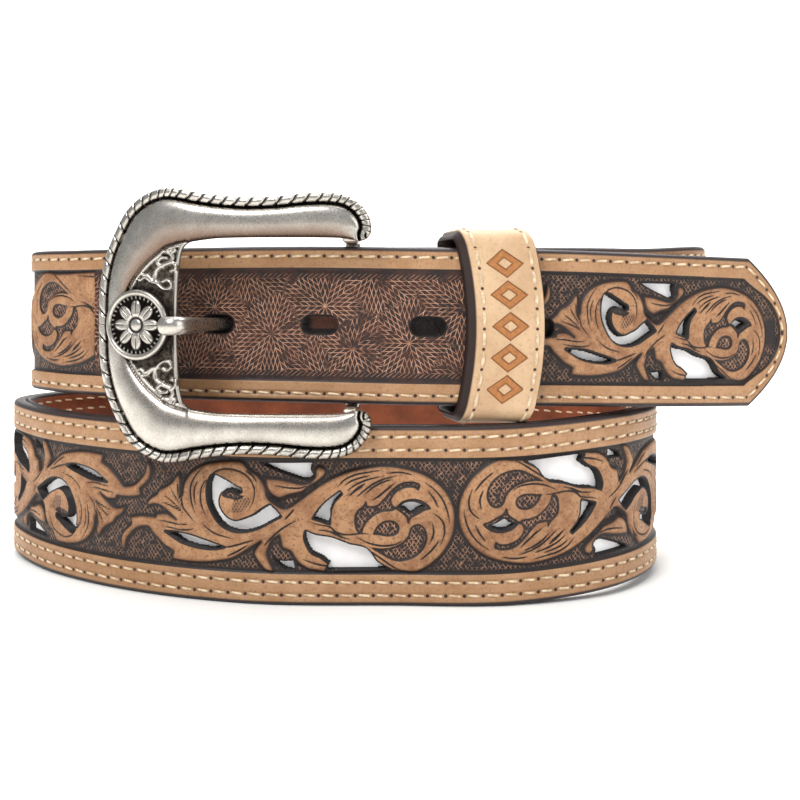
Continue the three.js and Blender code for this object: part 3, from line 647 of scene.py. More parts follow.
# One stretch of the overlay, closed: a fine carved top, rounded edges and a plain back.
def overlayPiece(name, start, end, step, across):
    rows, half = int(round((end - start) / step)) + 1, strap["fieldHalf"]
    along, border = np.linspace(start, end, rows), np.array(overlay["border"])
    field = np.linspace(-half, half, int(round(2 * half / across)) + 1)
    u, v = np.meshgrid(along, np.concatenate([-border[::-1], field, border]), indexing="ij")
    inner = np.abs(v) <= half
    # places next to a gap's or a hole's outline move onto it, so that the wall is clean
    gap = toolingAt(u, v)["gap"]
    reach = overlay["pullReach"] * max(step, across)
    slide = np.where(inner & (np.abs(gap) < reach), gap, 0)
    if slide.any():
        byU, byV = slopeOf(lambda a, b: toolingAt(a, b)["gap"], u, v, overlay["gapProbe"])
        size = np.maximum(byU ** 2 + byV ** 2, overlay["leastSlope"])
        u[1:-1] -= (slide * byU / size)[1:-1]
        v = np.where(inner, np.clip(v - slide * byV / size, -half, half), v)
        gap = np.where(slide != 0, overlay["atWall"], gap)
    hole = holeDistance(u, v)
    near = np.abs(hole) < reach
    if near.any():
        byU, byV = slopeOf(holeDistance, u, v, overlay["holeProbe"])
        u, v = u - np.where(near, hole * byU, 0), v - np.where(near, hole * byV, 0)
        hole = np.where(near, overlay["atWall"], hole)
    width = fitAcross(v, u)
    edge = edgeDistance(u, width)
    tooling = {**toolingAt(u, width), "gap": gap}
    star = (u > layout["starFrom"] + layout["overlap"]) & (u < layout["starTo"])
    starX, starY = starsAt(u, width)
    # on the nose the border keeps its width and the field stops short of it
    noseBorder = overlay["noseBorder"] - overlay["noseThinner"] * smoothStep(strapLength - 14, strapLength - 3, u)
    nose = u > strapLength - strap["tipLength"]
    inField = np.where(nose, smoothStep(0, 0.4, edge - noseBorder), np.abs(v) <= half + 1e-6)
    height = strap["fieldTop"] + overlay["tanRise"] * smoothStep(-0.1, 0.9, tooling["tan"])
    height -= overlay["groundDrop"] * (1 - smoothStep(-0.25, 0.0, tooling["tan"]))
    height -= overlay["sunkDepth"] * smoothStep(-0.1, 0.35, tooling["sunk"])
    height -= overlay["hatchDepth"] * smoothStep(-0.1, 0.3, tooling["hatch"])
    height -= overlay["cutDepth"] * smoothStep(-0.12, 0.22, tooling["cut"])
    height = np.where(star, strap["fieldTop"] - overlay["starDepth"], height)
    height = np.where(gap > 0, overlay["wellFloor"], height)
    height = height * inField + strap["overlayTop"] * (1 - inField)
    rounding = overlay["edgeRound"]
    height -= rounding - np.sqrt(rounding ** 2 - np.clip(rounding - edge, 0, rounding) ** 2)
    height = np.where(hole > 0, overlay["wellFloor"], height)
    # sides and back close the section
    sides, back = overlay["sides"], np.linspace(overlay["backHalf"], -overlay["backHalf"], overlay["backColumns"])
    columns = sides + [(share, strap["overlayBottom"]) for share in back]
    columns += [(-share, out) for share, out in sides[::-1]]
    shares, outs = np.array(columns).T
    pad = lambda values, rest: np.hstack([values, np.full((rows, len(columns)), rest)])
    allU = np.hstack([u, np.repeat(along[:, None], len(columns), 1)])
    allWidth = np.hstack([width, halfWidthAt(along)[:, None] * shares])
    allOut = np.hstack([height, np.repeat(outs[None], rows, 0)])
    tooled = inField > 0.5
    attributes = {
        "edge": pad(edge, 0.0), "inField": pad(inField, 0.0), "starX": pad(starX, 0.0), "starY": pad(starY, 0.0),
        "star": pad(star & tooled, 0.0), "hole": pad(hole, -9.0), "run": pad(stitchRun(u, width), 0.0),
        "alongStrap": allU, "acrossStrap": allWidth,
    }
    for key, values in tooling.items():
        rest = overlay["plainTan"] if key == "tan" else farOut
        attributes[key] = pad(np.where(tooled, values, rest), rest)
    index, quads = tubeFaces(*allU.shape)
    obj = addMesh(name, layOnCoil(allU, allWidth, allOut), [quads], attributes)
    return closeShape(obj, (index[0], index[-1]))


layer = {"step": 2.0, "faceColumns": 9, "faceHalf": 0.97, "faceRound": 0.12, "sideRound": 0.35}


# A plain smooth layer with rounded edges, as wide as the strap where no half width is given.
def layerPiece(name, start, end, half, bottom, top):
    along = np.linspace(start, end, int(round((end - start) / layer["step"])) + 1)
    thick = top - bottom
    spread = np.linspace(-1, 1, layer["faceColumns"])
    sink = thick * layer["faceRound"] * (np.abs(spread) == 1)
    upper, lower = top - thick * layer["sideRound"], bottom + thick * layer["sideRound"]
    shares = np.concatenate([spread * layer["faceHalf"], [1, 1], -spread * layer["faceHalf"], [-1, -1]])
    outs = np.concatenate([top - sink, [upper, lower], bottom + sink, [lower, upper]])
    reach = halfWidthAt(along)[:, None] if half is None else np.full((len(along), 1), half)
    u, width = np.repeat(along[:, None], len(shares), 1), reach * shares
    index, quads = tubeFaces(*u.shape)
    attributes = {"edge": reach - np.abs(width), "alongStrap": u, "acrossStrap": width}
    return closeShape(addMesh(name, layOnCoil(u, width, outs), [quads], attributes), (index[0], index[-1]))


# One stitch as rings round its run: along it, across it and proud of the leather.
def threadShape(thread, pitch):
    t = np.linspace(-1, 1, thread["rings"])[:, None]
    angles = np.linspace(0, 2 * math.pi, thread["sides"], endpoint=False)
    thick = np.sqrt(np.clip(1 - np.abs(t) ** 3.2, 0.05, 1))
    along = np.repeat(t * thread["share"] * pitch / 2, thread["sides"], 1)
    across = thick * np.cos(angles) * thread["wide"] + t * thread["slant"]
    proud = thick * np.sin(angles) * thread["high"] + thread["lift"] - np.abs(t) ** thread["bend"] * thread["sink"]
    return along, across, proud


def stitchRow(start, end, pitch, inset, side, level, turned, thread):
    line, lengths = insetLine(inset)
    ahead = unitLong(np.gradient(line, axis=0))
    along, across, proud = threadShape(thread, pitch)
    count = int(round((end - start) / pitch))
    run = start + (np.arange(count)[:, None, None] + 0.5) * pitch + along
    spot, way = readAt(run, lengths, line), readAt(run, lengths, ahead)
    width = side * (spot[..., 1] + way[..., 0] * across)
    return layOnCoil(spot[..., 0] - way[..., 1] * across, width, level + turned * proud)


# Makes one piece of many stitches, each a closed tube.
def joinStitches(name, rows, thread):
    places = np.concatenate(rows)
    index, quads = tubeFaces(thread["rings"], thread["sides"])
    shift = np.arange(len(places))[:, None, None] * index.size
    ends = np.array([index[0][::-1], index[-1]])
    faceSets = [(quads + shift).reshape(-1, 4), (ends + shift).reshape(-1, thread["sides"])]
    return closeShape(addMesh(name, places, faceSets))


bodyFrom, bodyTo = strapLength * 0.1, strapLength * 0.7
billetFrom = bodyTo + 1
billetRun = insetLine(stitching["billetInsets"][0])[1][-1] - billetFrom
billetPitch = billetRun / round(billetRun / stitching["pitch"])


# Thin lines that cross at a slant: one, where a line is.
def crossingLines(along, across, flat, steep, period):
    first, second = along * steep + across * flat, along * steep - across * flat
    return first.wave(period).least(second.wave(period)).fall(0.04, 0.13)


# The stamped stars: round each centre the field is cut in sectors, and lines parallel to both sides
# of a sector cross in long diamonds.
def starLines(finish):
    x, y = finish.read("starX"), finish.read("starY")
    sector, spacing = math.radians(36), 1.0
    reach, turn = x.awayFrom(y), y.math("ARCTAN2", y, x) + 4 * math.pi
    turn = turn.math("FLOORED_MODULO", turn, sector)
    first, second = reach * turn.sine(), reach * (sector - turn).sine()
    return first.wave(spacing).least(second.wave(spacing)).fall(0.045, 0.125)


# Puts one mark on all stitch rows of the face, the body's and the other ones.
def onStitchRows(along, edge, mark):
    onBody = (along > bodyFrom) * (along < bodyTo)
    rows = [(inset, onBody, bodyFrom, stitching["pitch"]) for inset in stitching["bodyInsets"]]
    rows += [(inset, 1.0 - onBody, billetFrom, billetPitch) for inset in stitching["billetInsets"]]
    whole = None
    for inset, share, start, pitch in rows:
        row = mark(edge - inset, start, pitch) * share
        whole = row if whole is None else whole.most(row)
    return whole


def carvedLeather():
    finish = Finish("carved_leather")
    mix, noise = finish.mix, finish.noise
    tan, gap, sunk, hatch, cut, edge, inField, star, hole, along, across = (finish.read(name) for name in (
        "tan", "gap", "sunk", "hatch", "cut", "edge", "inField", "star", "hole", "alongStrap", "acrossStrap"))
    mottle, speckle, flecks = noise(120, 4), noise(1500, 3, 0.7), noise(2600, 2)
    plainTan = mix(mottle.step(0.3, 0.7), "#9C734D", "#AE8662")
    plainTan = mix(speckle.step(0.48, 0.7, 0.0, 0.5), plainTan, "#7E5535")
    tanColour = mix(mottle.step(0.35, 0.65), "#8A5F3F", "#A67A55")
    tanColour = mix(noise(400, 3).step(0.45, 0.62, 0.0, 0.4), tanColour, "#B88F68")
    tanColour = mix(speckle.step(0.5, 0.66, 0.0, 0.7), tanColour, "#6A4329")
    # the ground is matted with a fine bark of crossing lines, plain and dark beside each form
    wobble = (noise(520, 2) - 0.5) * 1.5
    bark = crossingLines(along + wobble, across - wobble, 0.6, 0.8, 0.86) * noise(700, 3).step(0.38, 0.56)
    offCentre = abs(across)
    lines = bark * (tan.fall(-0.8, -0.3) * offCentre.fall(12.2, 12.8))
    groundColour = mix(flecks.step(0.56, 0.68, 0.0, 0.35), "#1B1412", "#48332A")
    groundColour = mix(lines, groundColour, "#936E58")
    # each form darkens towards its foot, with a near-black line just inside its outline
    formColour = mix(tan.step(0.0, 1.0, 0.75, 0.0), tanColour, "#54331F")
    formColour = mix(tan.step(0.16, 0.42, 0.92, 0.0), formColour, "#23150F")
    colour = mix(tan.step(-0.08, 0.1), groundColour, formColour)
    hatching = crossingLines(along, across, 0.5, 0.85, 0.62).step(0.2, 0.8, 0.85, 0.2)
    colour = mix(hatch.step(-0.1, 0.2) * hatching, colour, "#3E271C")
    sunkColour = mix(flecks.step(0.56, 0.7, 0.0, 0.3), "#1F1613", "#6E4A37")
    sunkColour = mix(bark * sunk.step(0.35, 0.8), sunkColour, "#A0765C")
    colour = mix(sunk.step(-0.08, 0.12), colour, sunkColour)
    colour = mix(cut.step(-0.05, 0.09), colour, "#170E0C")
    # slanting strokes run along both borders of the stamped field
    strokes = (along - across * 1.3).wave(1.25).step(0.06, 0.16, 0.75, 0.0)
    strokes = strokes * (offCentre.step(10.9, 11.1) * offCentre.fall(12.0, 12.2))
    rays = (starLines(finish) * offCentre.fall(10.9, 11.1)).most(strokes)
    rayColour = mix(noise(260, 3).step(0.42, 0.62), "#3A2119", "#231815")
    rayLine = mix(noise(500, 2).step(0.3, 0.7), "#9A684F", "#C4967A")
    rayColour = mix(rays * noise(380, 3).step(0.36, 0.5, 0.12, 1.0), rayColour, rayLine)
    colour = mix(star.step(0.4, 0.6), colour, rayColour)
    # the pierced gaps' walls and a thin rim round them are near-black: partly the dark cut edge, partly painted shade
    # down into the well
    colour = mix(gap.step(-0.46, -0.28), colour, "#150E0C")
    # the plain border with dark needle holes, its foot line and the painted edge
    run = finish.read("run")
    needle = lambda away, start, pitch: (run - start).wave(pitch).awayFrom(away).fall(0.3, 0.55)
    plainTan = mix(onStitchRows(along, edge, needle), plainTan, "#2A1A14")
    inside = inField.step(0.9, 0.99)
    colour = mix(inside, mix(inField.step(0.02, 0.3), plainTan, "#241713"), colour)
    # painted shade: the punched holes' walls, floors and a thin rim round them are near-black, for the dark inside an
    # open hole; the inner turn's lining shows through the hole beside the prong's, painted in a shaded brown
    past = along - layout["holes"][2]
    seen = past.step(-3.4, -1.8) * past.fall(5.0, 6.0) * across.step(-1.2, -0.7) * hole.step(0.1, 0.5)
    colour = mix(hole.step(-0.4, -0.1), colour, mix(seen, "#1A110F", "#55301F"))
    colour = mix(edge.fall(0.75, 1.25), colour, "#2A1F1E")
    roughness = speckle.step(0.3, 0.7, 0.0, 0.14) + inside.step(0.0, 1.0, 0.42, 0.5)
    raised = (lines * (tan.fall(-0.2, 0.0) * inside)).most(rays * star)
    normal = finish.bump(raised, 0.00022, 0.9, finish.bump(noise(2200, 4, 0.65), 0.00012, 0.35))
    groove = onStitchRows(along, edge, lambda away, start, pitch: abs(away).fall(0.2, 0.9))
    normal = finish.bump(groove * inField.fall(0.1, 0.5) * -1.0, 0.0003, 0.7, normal)
    return finish.close(colour=colour, roughness=roughness, normal=normal, **leatherShine)


def smoothLeather(name, face, dark, edgeColour=None, roughness=0.45, punched=False):
    finish = Finish(name)
    colour = finish.mix(finish.noise(90, 4).step(0.3, 0.7), dark, face)
    colour = finish.mix(finish.noise(1400, 3, 0.7).step(0.52, 0.7, 0.0, 0.35), colour, dark)
    if punched:
        # painted shade: the punched holes show on the lining as near-black slots, for the dark inside the open holes
        along, across, holes = finish.read("alongStrap"), finish.read("acrossStrap"), layout["holes"]
        beside = ((along - holes[0]).wave(holes[1] - holes[0]) - holeReach).most(0.0)
        slot = beside.awayFrom(across).fall(holeRadius - 0.1, holeRadius + 0.1)
        colour = finish.mix((along > holes[0] - 6) * (along < holes[-1] + 6) * slot, colour, "#120C0A")
    if edgeColour:
        colour = finish.mix(finish.read("edge").fall(0.8, 1.1), colour, edgeColour)
    normal = finish.bump(finish.noise(1800, 4, 0.65), 0.0001, 0.35)
    return finish.close(colour=colour, roughness=roughness, normal=normal, **leatherShine)


def waxedThread():
    finish = Finish("waxed_thread")
    colour = finish.mix(finish.noise(700, 2).step(0.35, 0.65), "#BCA280", "#E0CCAD")
    return finish.close(colour=colour, roughness=0.6, normal=finish.bump(finish.noise(3000, 2), 0.0001, 0.5))


def finishPiece(obj, material, slotName, nodes=()):
    obj.data.materials.append(material)
    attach(obj, "root")
    if nodes:
        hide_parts(*nodes)


carved, thread = carvedLeather(), waxedThread()
lining = smoothLeather("rust_lining", "#8E4E30", "#693824", "#2A1F1E", punched=True)
inlay = smoothLeather("offwhite_leather", "#FFFDFC", "#F1EDEC", roughness=0.6)
for i, stretch in enumerate(stretches):
    piece = overlayPiece(f"overlay_stretch_{i + 1}", *stretch)
    finishPiece(piece, carved, "tooled_leather", ["tooled_overlay"])
print("overlay carved")

# from, to, half width, bottom and top, then the finish, its slot and the node it stands for
layers = {
    "lining_leather": ((0, strapLength, None, 0.0, 1.4), lining, "lining_leather", "strap_lining"),
    "inlay_body": ((55, 836, 14.0, 1.7, 2.35), inlay, "inlay_leather", "body_inlay"),
    "inlay_billet": ((957, strapLength - 9, 13.2, 1.7, 2.35), inlay, "inlay_leather", "billet_inlay"),
}
for name, (sizes, material, slotName, node) in layers.items():
    finishPiece(layerPiece(name, *sizes), material, slotName, [node])


def strapStitches(name, level, thread, turned):
    pitch = stitching["pitch"]
    spans = [(bodyFrom, bodyTo, pitch, inset) for inset in stitching["bodyInsets"]]
    for inset in stitching["billetInsets"]:
        spans += [(billetFrom, billetFrom + billetRun, billetPitch, inset), (4, bodyFrom - 1, pitch, inset)]
    rows = [stitchRow(*span, side, level, turned, thread) for side in (-1, 1) for span in spans]
    return joinStitches(name, rows, thread)


finishPiece(strapStitches("face_stitches", strap["overlayTop"], faceThread, 1), thread, "tooled_leather")
finishPiece(strapStitches("back_stitches", 0.0, backThread, -1), thread, "lining_leather")
print("strap dressed")

buckle = {
    "left": -67.45, "width": 66.0, "half": 31.75, "middleZ": 64.75, "back": -55.05, "front": -59.05,
    "bendFrom": -25.45, "bendRadius": 60.0, "bowRows": 150, "armRows": 175, "columns": 74, "crowding": 1.12,
    "rope": 2.3, "ropePitch": 2.7, "ropeBase": 1.9, "ropeHigh": 1.35, "footDepth": 0.5, "footWidth": 0.15,
    "domeBase": 1.6, "domeTop": 4.0, "domeSpan": 9.0, "plateLevel": 2.1, "scrollHigh": 0.75, "scrollHalf": 0.42,
    "rimHigh": 0.7, "edgeRound": 0.9, "edgeBase": 1.4, "edgeHigh": 2.6, "least": 0.5,
    "heelX": -6.45, "heelY": -39.576, "heelRadius": 1.8, "heelLength": 45.2, "lugSide": 3.6,
    "ringRadius": 2.8, "ringThick": 1.1, "ringStretch": 1.8,
}
# half of the C above its middle line: shares of the width and of the half height
outerRows = [
    (0, 0), (0.003, 0.264), (0.027, 0.493), (0.068, 0.68), (0.123, 0.855), (0.191, 0.956), (0.26, 1), (0.314, 0.996),
    (0.396, 0.962), (0.478, 0.936), (0.567, 0.922), (0.669, 0.929), (0.771, 0.95), (0.86, 0.952), (0.921, 0.925),
    (0.969, 0.852), (0.995, 0.761), (0.998, 0.667), (0.98, 0.62), (0.955, 0.605),
]
innerRows = [
    (0.318, 0), (0.319, 0.15), (0.323, 0.35), (0.329, 0.47), (0.34, 0.555), (0.362, 0.598), (0.395, 0.612),
    (0.464, 0.627), (0.6, 0.632), (0.8, 0.632), (0.894, 0.627), (0.935, 0.615),
]
bowTop, bowInside, ropeEnd = (0.26, 1), (0.37, 0.602), (0.992, 0.645)
# the curved side of the scroll plate, from the inner corner to the medallion
plateRows = [
    (0.354, 0.606), (0.287, 0.573), (0.234, 0.506), (0.188, 0.425), (0.155, 0.345), (0.132, 0.264), (0.121, 0.15),
    (0.119, 0),
]
# raised scrolls of the upper plate
scrollRows = [
    [(0.288, 0.535), (0.303, 0.5), (0.295, 0.46), (0.264, 0.435), (0.240, 0.4), (0.233, 0.35), (0.244, 0.3),
     (0.270, 0.262), (0.292, 0.27), (0.297, 0.305), (0.281, 0.33), (0.264, 0.315)],
    [(0.242, 0.31), (0.220, 0.32), (0.196, 0.35), (0.176, 0.325), (0.165, 0.335)],
    [(0.220, 0.325), (0.205, 0.365), (0.182, 0.37)],
    [(0.264, 0.43), (0.244, 0.455), (0.259, 0.49), (0.281, 0.49)],
    [(0.295, 0.465), (0.310, 0.445), (0.314, 0.41), (0.297, 0.395)],
    [(0.288, 0.535), (0.270, 0.53), (0.259, 0.55)],
    [(0.297, 0.53), (0.312, 0.545), (0.308, 0.565)],
]


def frameLine(rows, pieces=0):
    shares = np.array(rows, float)
    line = np.stack([buckle["left"] + shares[:, 0] * buckle["width"], shares[:, 1] * buckle["half"]], 1)
    return smoothLine(line, False, pieces, -2) if pieces else line


def splitAt(line, place):
    i = int(np.argmin(np.linalg.norm(line - frameLine([place]), axis=1)))
    return line[:i + 1], line[i:]


def resample(line, count):
    lengths = lengthsOf(line)
    return readAt(np.linspace(0, lengths[-1], count), lengths, line)


# The frame bends back towards the coil at its left.
def frameBend(x):
    return np.maximum(buckle["bendFrom"] - x, 0) ** 2 / (2 * buckle["bendRadius"])


def roundRise(share):
    return np.sqrt(np.clip(1 - share ** 2, 0, 1))


def buckleFrame():
    outer, inner, plate = frameLine(outerRows, 12), frameLine(innerRows, 12), frameLine(plateRows, 10)
    # both halves, from the lower arm's end round the bow to the upper one's
    sides = []
    for line, corner in ((outer, bowTop), (inner, bowInside)):
        bow, arm = splitAt(line, corner)
        upper = np.vstack([resample(bow, buckle["bowRows"]), resample(arm, buckle["armRows"])[1:]])
        sides.append(np.vstack([upper[:0:-1] * [1, -1], upper]))
    edge, reach = sides[0][:, None], (sides[1] - sides[0])[:, None]
    arcLength = lengthsOf(sides[0])[-1] / 2
    across = np.linspace(0, 1, buckle["columns"]) ** buckle["crowding"]
    x, z = np.moveaxis(edge + reach * across[:, None], -1, 0)
    grid = np.stack([x, np.abs(z)], -1)
    ropeLine, endLine = splitAt(outer, ropeEnd)
    fromOuter, outerShare, _ = distanceTo(grid, ropeLine, False)
    fromEnd, fromInner = distanceTo(grid, endLine, False)[0], distanceTo(grid, inner, False)[0]
    plateRing = np.vstack([plate, frameLine(innerRows[:1]), frameLine(innerRows[:6], 6)])
    fromPlate, _, inPlate = distanceTo(grid, plateRing, True)
    rope = buckle["rope"]
    beyond = np.maximum(fromOuter - rope - 0.25, 0)
    bound = np.minimum(fromInner, np.where(inPlate, 0, fromPlate))
    q = beyond / np.maximum(beyond + bound, 1e-3)
    dome = np.sqrt(np.clip(1 - np.abs(2 * q ** 0.85 - 1) ** 2.4, 0, 1))
    dome = dome * (0.55 + 0.45 * np.minimum((beyond + bound) / buckle["domeSpan"], 1.0))
    height = buckle["domeBase"] + (buckle["domeTop"] - buckle["domeBase"]) * dome
    scroll = np.full(x.shape, -1.0)
    for rows in scrollRows:
        away, along, _ = distanceTo(grid, frameLine(rows, 6), False)
        scroll = np.maximum(scroll, 0.52 * (1 - 0.5 * along) + 0.12 - away)
    rim = np.minimum(0.46 - np.abs(fromPlate - 0.5), np.where(inPlate, 1, -1))
    plateHeight = buckle["plateLevel"] + buckle["scrollHigh"] * np.sqrt(np.clip(scroll / buckle["scrollHalf"], 0, 1))
    height = np.where(inPlate, plateHeight + buckle["rimHigh"] * smoothStep(-0.05, 0.2, rim), height)
    # rope edge: a bead with slanting grooves, and a deep line along its foot
    bead = np.clip(1 - (fromOuter / (rope / 2) - 1) ** 2, 0, 1)
    turn = outerShare * arcLength * np.sign(z) / buckle["ropePitch"] + 0.512 * (fromOuter / rope - 0.5)
    inRope = fromOuter < rope + 0.12
    height = np.where(inRope, buckle["ropeBase"] + buckle["ropeHigh"] * bead ** 0.4, height)
    foot = np.exp(-((fromOuter - rope - 0.15) / buckle["footWidth"]) ** 2)
    height = height - buckle["footDepth"] * foot
    for away in (fromInner, fromEnd):
        rounded = buckle["edgeBase"] + buckle["edgeHigh"] * roundRise(1 - away / buckle["edgeRound"])
        height = np.where(away < buckle["edgeRound"], np.minimum(height, rounded), height)
    height = np.maximum(height, buckle["least"])
    dark = np.maximum(smoothStep(0.45, 0.95, foot), inPlate & (scroll < 0.02) & (rim < 0.0))
    # painted reflection and shade: the inner slope is darkened towards the brown of the leather below, most on the
    # upper arm
    paintedReflection = smoothStep(0.3, 0.95, q) * np.where(z > 0, 1.0, 0.3) * np.where(inPlate | inRope, 0, 1)
    # a plain back with a softened edge
    backShare = np.array([0.985, 0.93, 0.7, 0.5, 0.3, 0.07, 0.015])
    backOut = np.array([0.6, 0.0, 0.0, 0.0, 0.0, 0.0, 0.6])
    backX, backZ = np.moveaxis(edge + reach * backShare[:, None], -1, 0)
    allX, allZ = np.hstack([x, backX]), np.hstack([z, backZ])
    allOut = np.hstack([height, np.repeat(backOut[None], len(x), 0)])
    places = np.stack([allX, buckle["back"] - allOut + frameBend(allX), buckle["middleZ"] + allZ], -1) / 1000
    faces = {"dark": dark, "plate": inPlate, "paintedReflection": paintedReflection, "ropeTurn": turn, "rope": inRope}
    index, quads = tubeFaces(*allX.shape)
    obj = addMesh("cast_frame", places, [quads], {key: np.hstack([faces[key], 0 * backX]) for key in faces})
    return closeShape(obj, (index[0], index[-1]))


medal = {"radius": 8.3, "x": -56.5, "rings": 43, "sides": 144, "petals": 8, "beads": 36, "level": 0.25, "thick": 2.6}


# Medallion: a rimmed disc with a plain rosette of eight petals.
def medallion():
    rings, sides = medal["rings"], medal["sides"]
    radius = np.linspace(0, 1, rings + 1)[1:] * medal["radius"]
    angles = np.linspace(0, 2 * math.pi, sides, endpoint=False)
    r, turn = np.meshgrid(radius, angles, indexing="ij")
    share, half = r / medal["radius"], medal["petals"] / 2
    rim, boss = roundRise((share - 0.91) / 0.085), roundRise(share / 0.17)
    lobe = 0.3 + 0.42 * np.abs(np.cos(half * turn)) ** 0.6
    petal = smoothStep(0.0, 0.1, lobe - share) * smoothStep(0.2, 0.3, share)
    vein = np.exp(-((np.sin(half * turn) * share) / 0.035) ** 2) * smoothStep(0.3, 0.4, share) * petal
    bead = np.clip(np.cos(turn * medal["beads"]), 0, 1) ** 0.5 * np.exp(-((share - 0.775) / 0.03) ** 2)
    height = 0.25 + 0.75 * rim + 0.42 * petal - 0.25 * vein + 0.5 * boss + 0.25 * bead
    height = np.where(share > 0.995, 0.1, height)
    dark = np.clip(1 - 1.6 * (rim + petal - vein + boss + bead), 0, 1)
    # rings of the face, one more at the back, and both middles
    x, z = medal["x"] + r * np.cos(turn), buckle["middleZ"] + r * np.sin(turn)
    x, z = np.vstack([x, x[-1]]).ravel(), np.vstack([z, z[-1]]).ravel()
    x, z = np.append(x, [medal["x"]] * 2), np.append(z, [buckle["middleZ"]] * 2)
    behind = np.full(sides, medal["thick"])
    out = np.concatenate([(medal["level"] - height).ravel(), behind, [medal["level"] - 0.75, medal["thick"]]])
    index, quads = tubeFaces(rings + 1, sides)
    following = np.roll(index, -1, axis=1)
    middle = np.full(sides, index.size)
    fans = [np.stack([middle, index[0], following[0]], 1), np.stack([middle + 1, following[-1], index[-1]], 1)]
    places = np.stack([x, buckle["front"] + out + frameBend(x), z], -1) / 1000
    darks = np.append(dark.ravel(), np.zeros(sides + 2))
    return closeShape(addMesh("medallion", places, [quads, *fans], {"dark": darks}))


prong = {
    "perBend": 16, "rings": 110, "sides": 28, "roundEnd": 1.7, "least": 0.0004, "landing": 2.85,
    "high": ([0, 0.5, 0.64, 0.8, 0.95, 1], [4.0, 3.4, 3.0, 3.6, 4.4, 4.3]),
    "deep": ([0, 0.6, 0.8, 1], [3.2, 3.2, 3.0, 3.1]),
}


# The prong: a round bar from the heel bar down through its hole and up onto the medallion.
def prongBar():
    through = np.array([layout["holes"][1], 0.0, strap["strapMiddle"]])[:, None]
    holeX, holeY, _ = layOnCoil(*through)[0] * 1000
    landings = [buckle["left"] + 2 * medal["radius"] * share for share in (1.3, 1.06)]
    rows = [
        (buckle["heelX"] - 3.2, buckle["heelY"]), (holeX + 13, buckle["heelY"] + 1.6), (holeX + 4.5, holeY + 3.4),
        (holeX - 1, holeY - 3), *((x, buckle["front"] + frameBend(x) - prong["landing"]) for x in landings),
    ]
    line, _ = curveThrough(np.array([(x, y, buckle["middleZ"]) for x, y in rows]), prong["perBend"])
    lengths = lengthsOf(line)
    # places crowd towards both ends, where the bar closes
    share = (1 - np.cos(np.linspace(0, math.pi, prong["rings"]))) / 2
    at = share * lengths[-1]
    centre = readAt(at, lengths, line)
    up = np.array([0, 0, 1.0])
    side = unitLong(np.cross(unitLong(np.gradient(centre, axis=0)), up))
    close = 1.0
    for away in (at, lengths[-1] - at):
        missing = np.clip(1 - away / prong["roundEnd"], 0, 1)
        close = close * np.sqrt(np.clip(1 - missing ** 2, prong["least"], 1))
    angles = np.linspace(0, 2 * math.pi, prong["sides"], endpoint=False)[None, :, None]
    tall, thick = ((np.interp(share, *prong[key]) / 2 * close)[:, None, None] for key in ("high", "deep"))
    places = centre[:, None] + up * tall * np.sin(angles) + side[:, None] * thick * np.cos(angles)
    index, quads = tubeFaces(prong["rings"], prong["sides"])
    # the prong is marked, so that little painted shade falls on it
    obj = addMesh("prong", places / 1000, [quads], {"onProng": np.ones(index.size)})
    return closeShape(obj, (index[0], index[-1]))


def antiqueSilver():
    finish = Finish("antique_silver_plate")
    mix, noise = finish.mix, finish.noise
    dark, plate, paintedReflection, turn, rope, onProng = (finish.read(name) for name in (
        "dark", "plate", "paintedReflection", "ropeTurn", "rope", "onProng"))
    grain = noise(2400, 3)
    colour = mix(noise(160, 4).step(0.3, 0.7), "#B0AAA1", "#C9C3BA")
    colour = mix(grain.step(0.5, 0.72, 0.0, 0.25), colour, "#8F877C")
    # painted reflection and shade: the arms' inner slope darkens towards the leather's brown
    colour = mix(paintedReflection * 0.9, colour, "#6B5243")
    ground = mix(noise(900, 3).step(0.35, 0.65), "#2A2521", "#625A50")
    colour = mix(dark, colour, mix(plate, "#15110F", ground))
    # thin slanting grooves cut the rope edge
    groove = turn.wave(1.0) * buckle["ropePitch"]
    colour = mix(groove.fall(0.1, 0.24) * rope.step(0.4, 0.8), colour, "#15110F")
    # painted shade: darker where ambient occlusion finds surfaces close by, in the corners and between parts; little
    # of it on the prong
    occlusion = addNode(finish.tree, "ShaderNodeAmbientOcclusion", {"samples": 8, "Distance": 0.0012})
    corner = Value(finish.tree, occlusion.outputs["AO"]).step(0.35, 0.85, 0.75, 0.0)
    colour = mix(corner * onProng.step(0.0, 1.0, 1.0, 0.15), colour, "#1C1714")
    roughness = grain.step(0.3, 0.7, 0.24, 0.36) + dark * 0.4
    normal = finish.bump(groove.step(0.0, 0.6) * rope, 0.0005, 0.8, finish.bump(grain, 0.00005, 0.35))
    return finish.close(colour=colour, roughness=roughness, normal=normal, metallic=1.0)


silver = antiqueSilver()
finishPiece(buckleFrame(), silver, "antique_silver", ["buckle_frame"])
finishPiece(medallion(), silver, "antique_silver")
finishPiece(prongBar(), silver, "antique_silver", ["buckle_prong"])


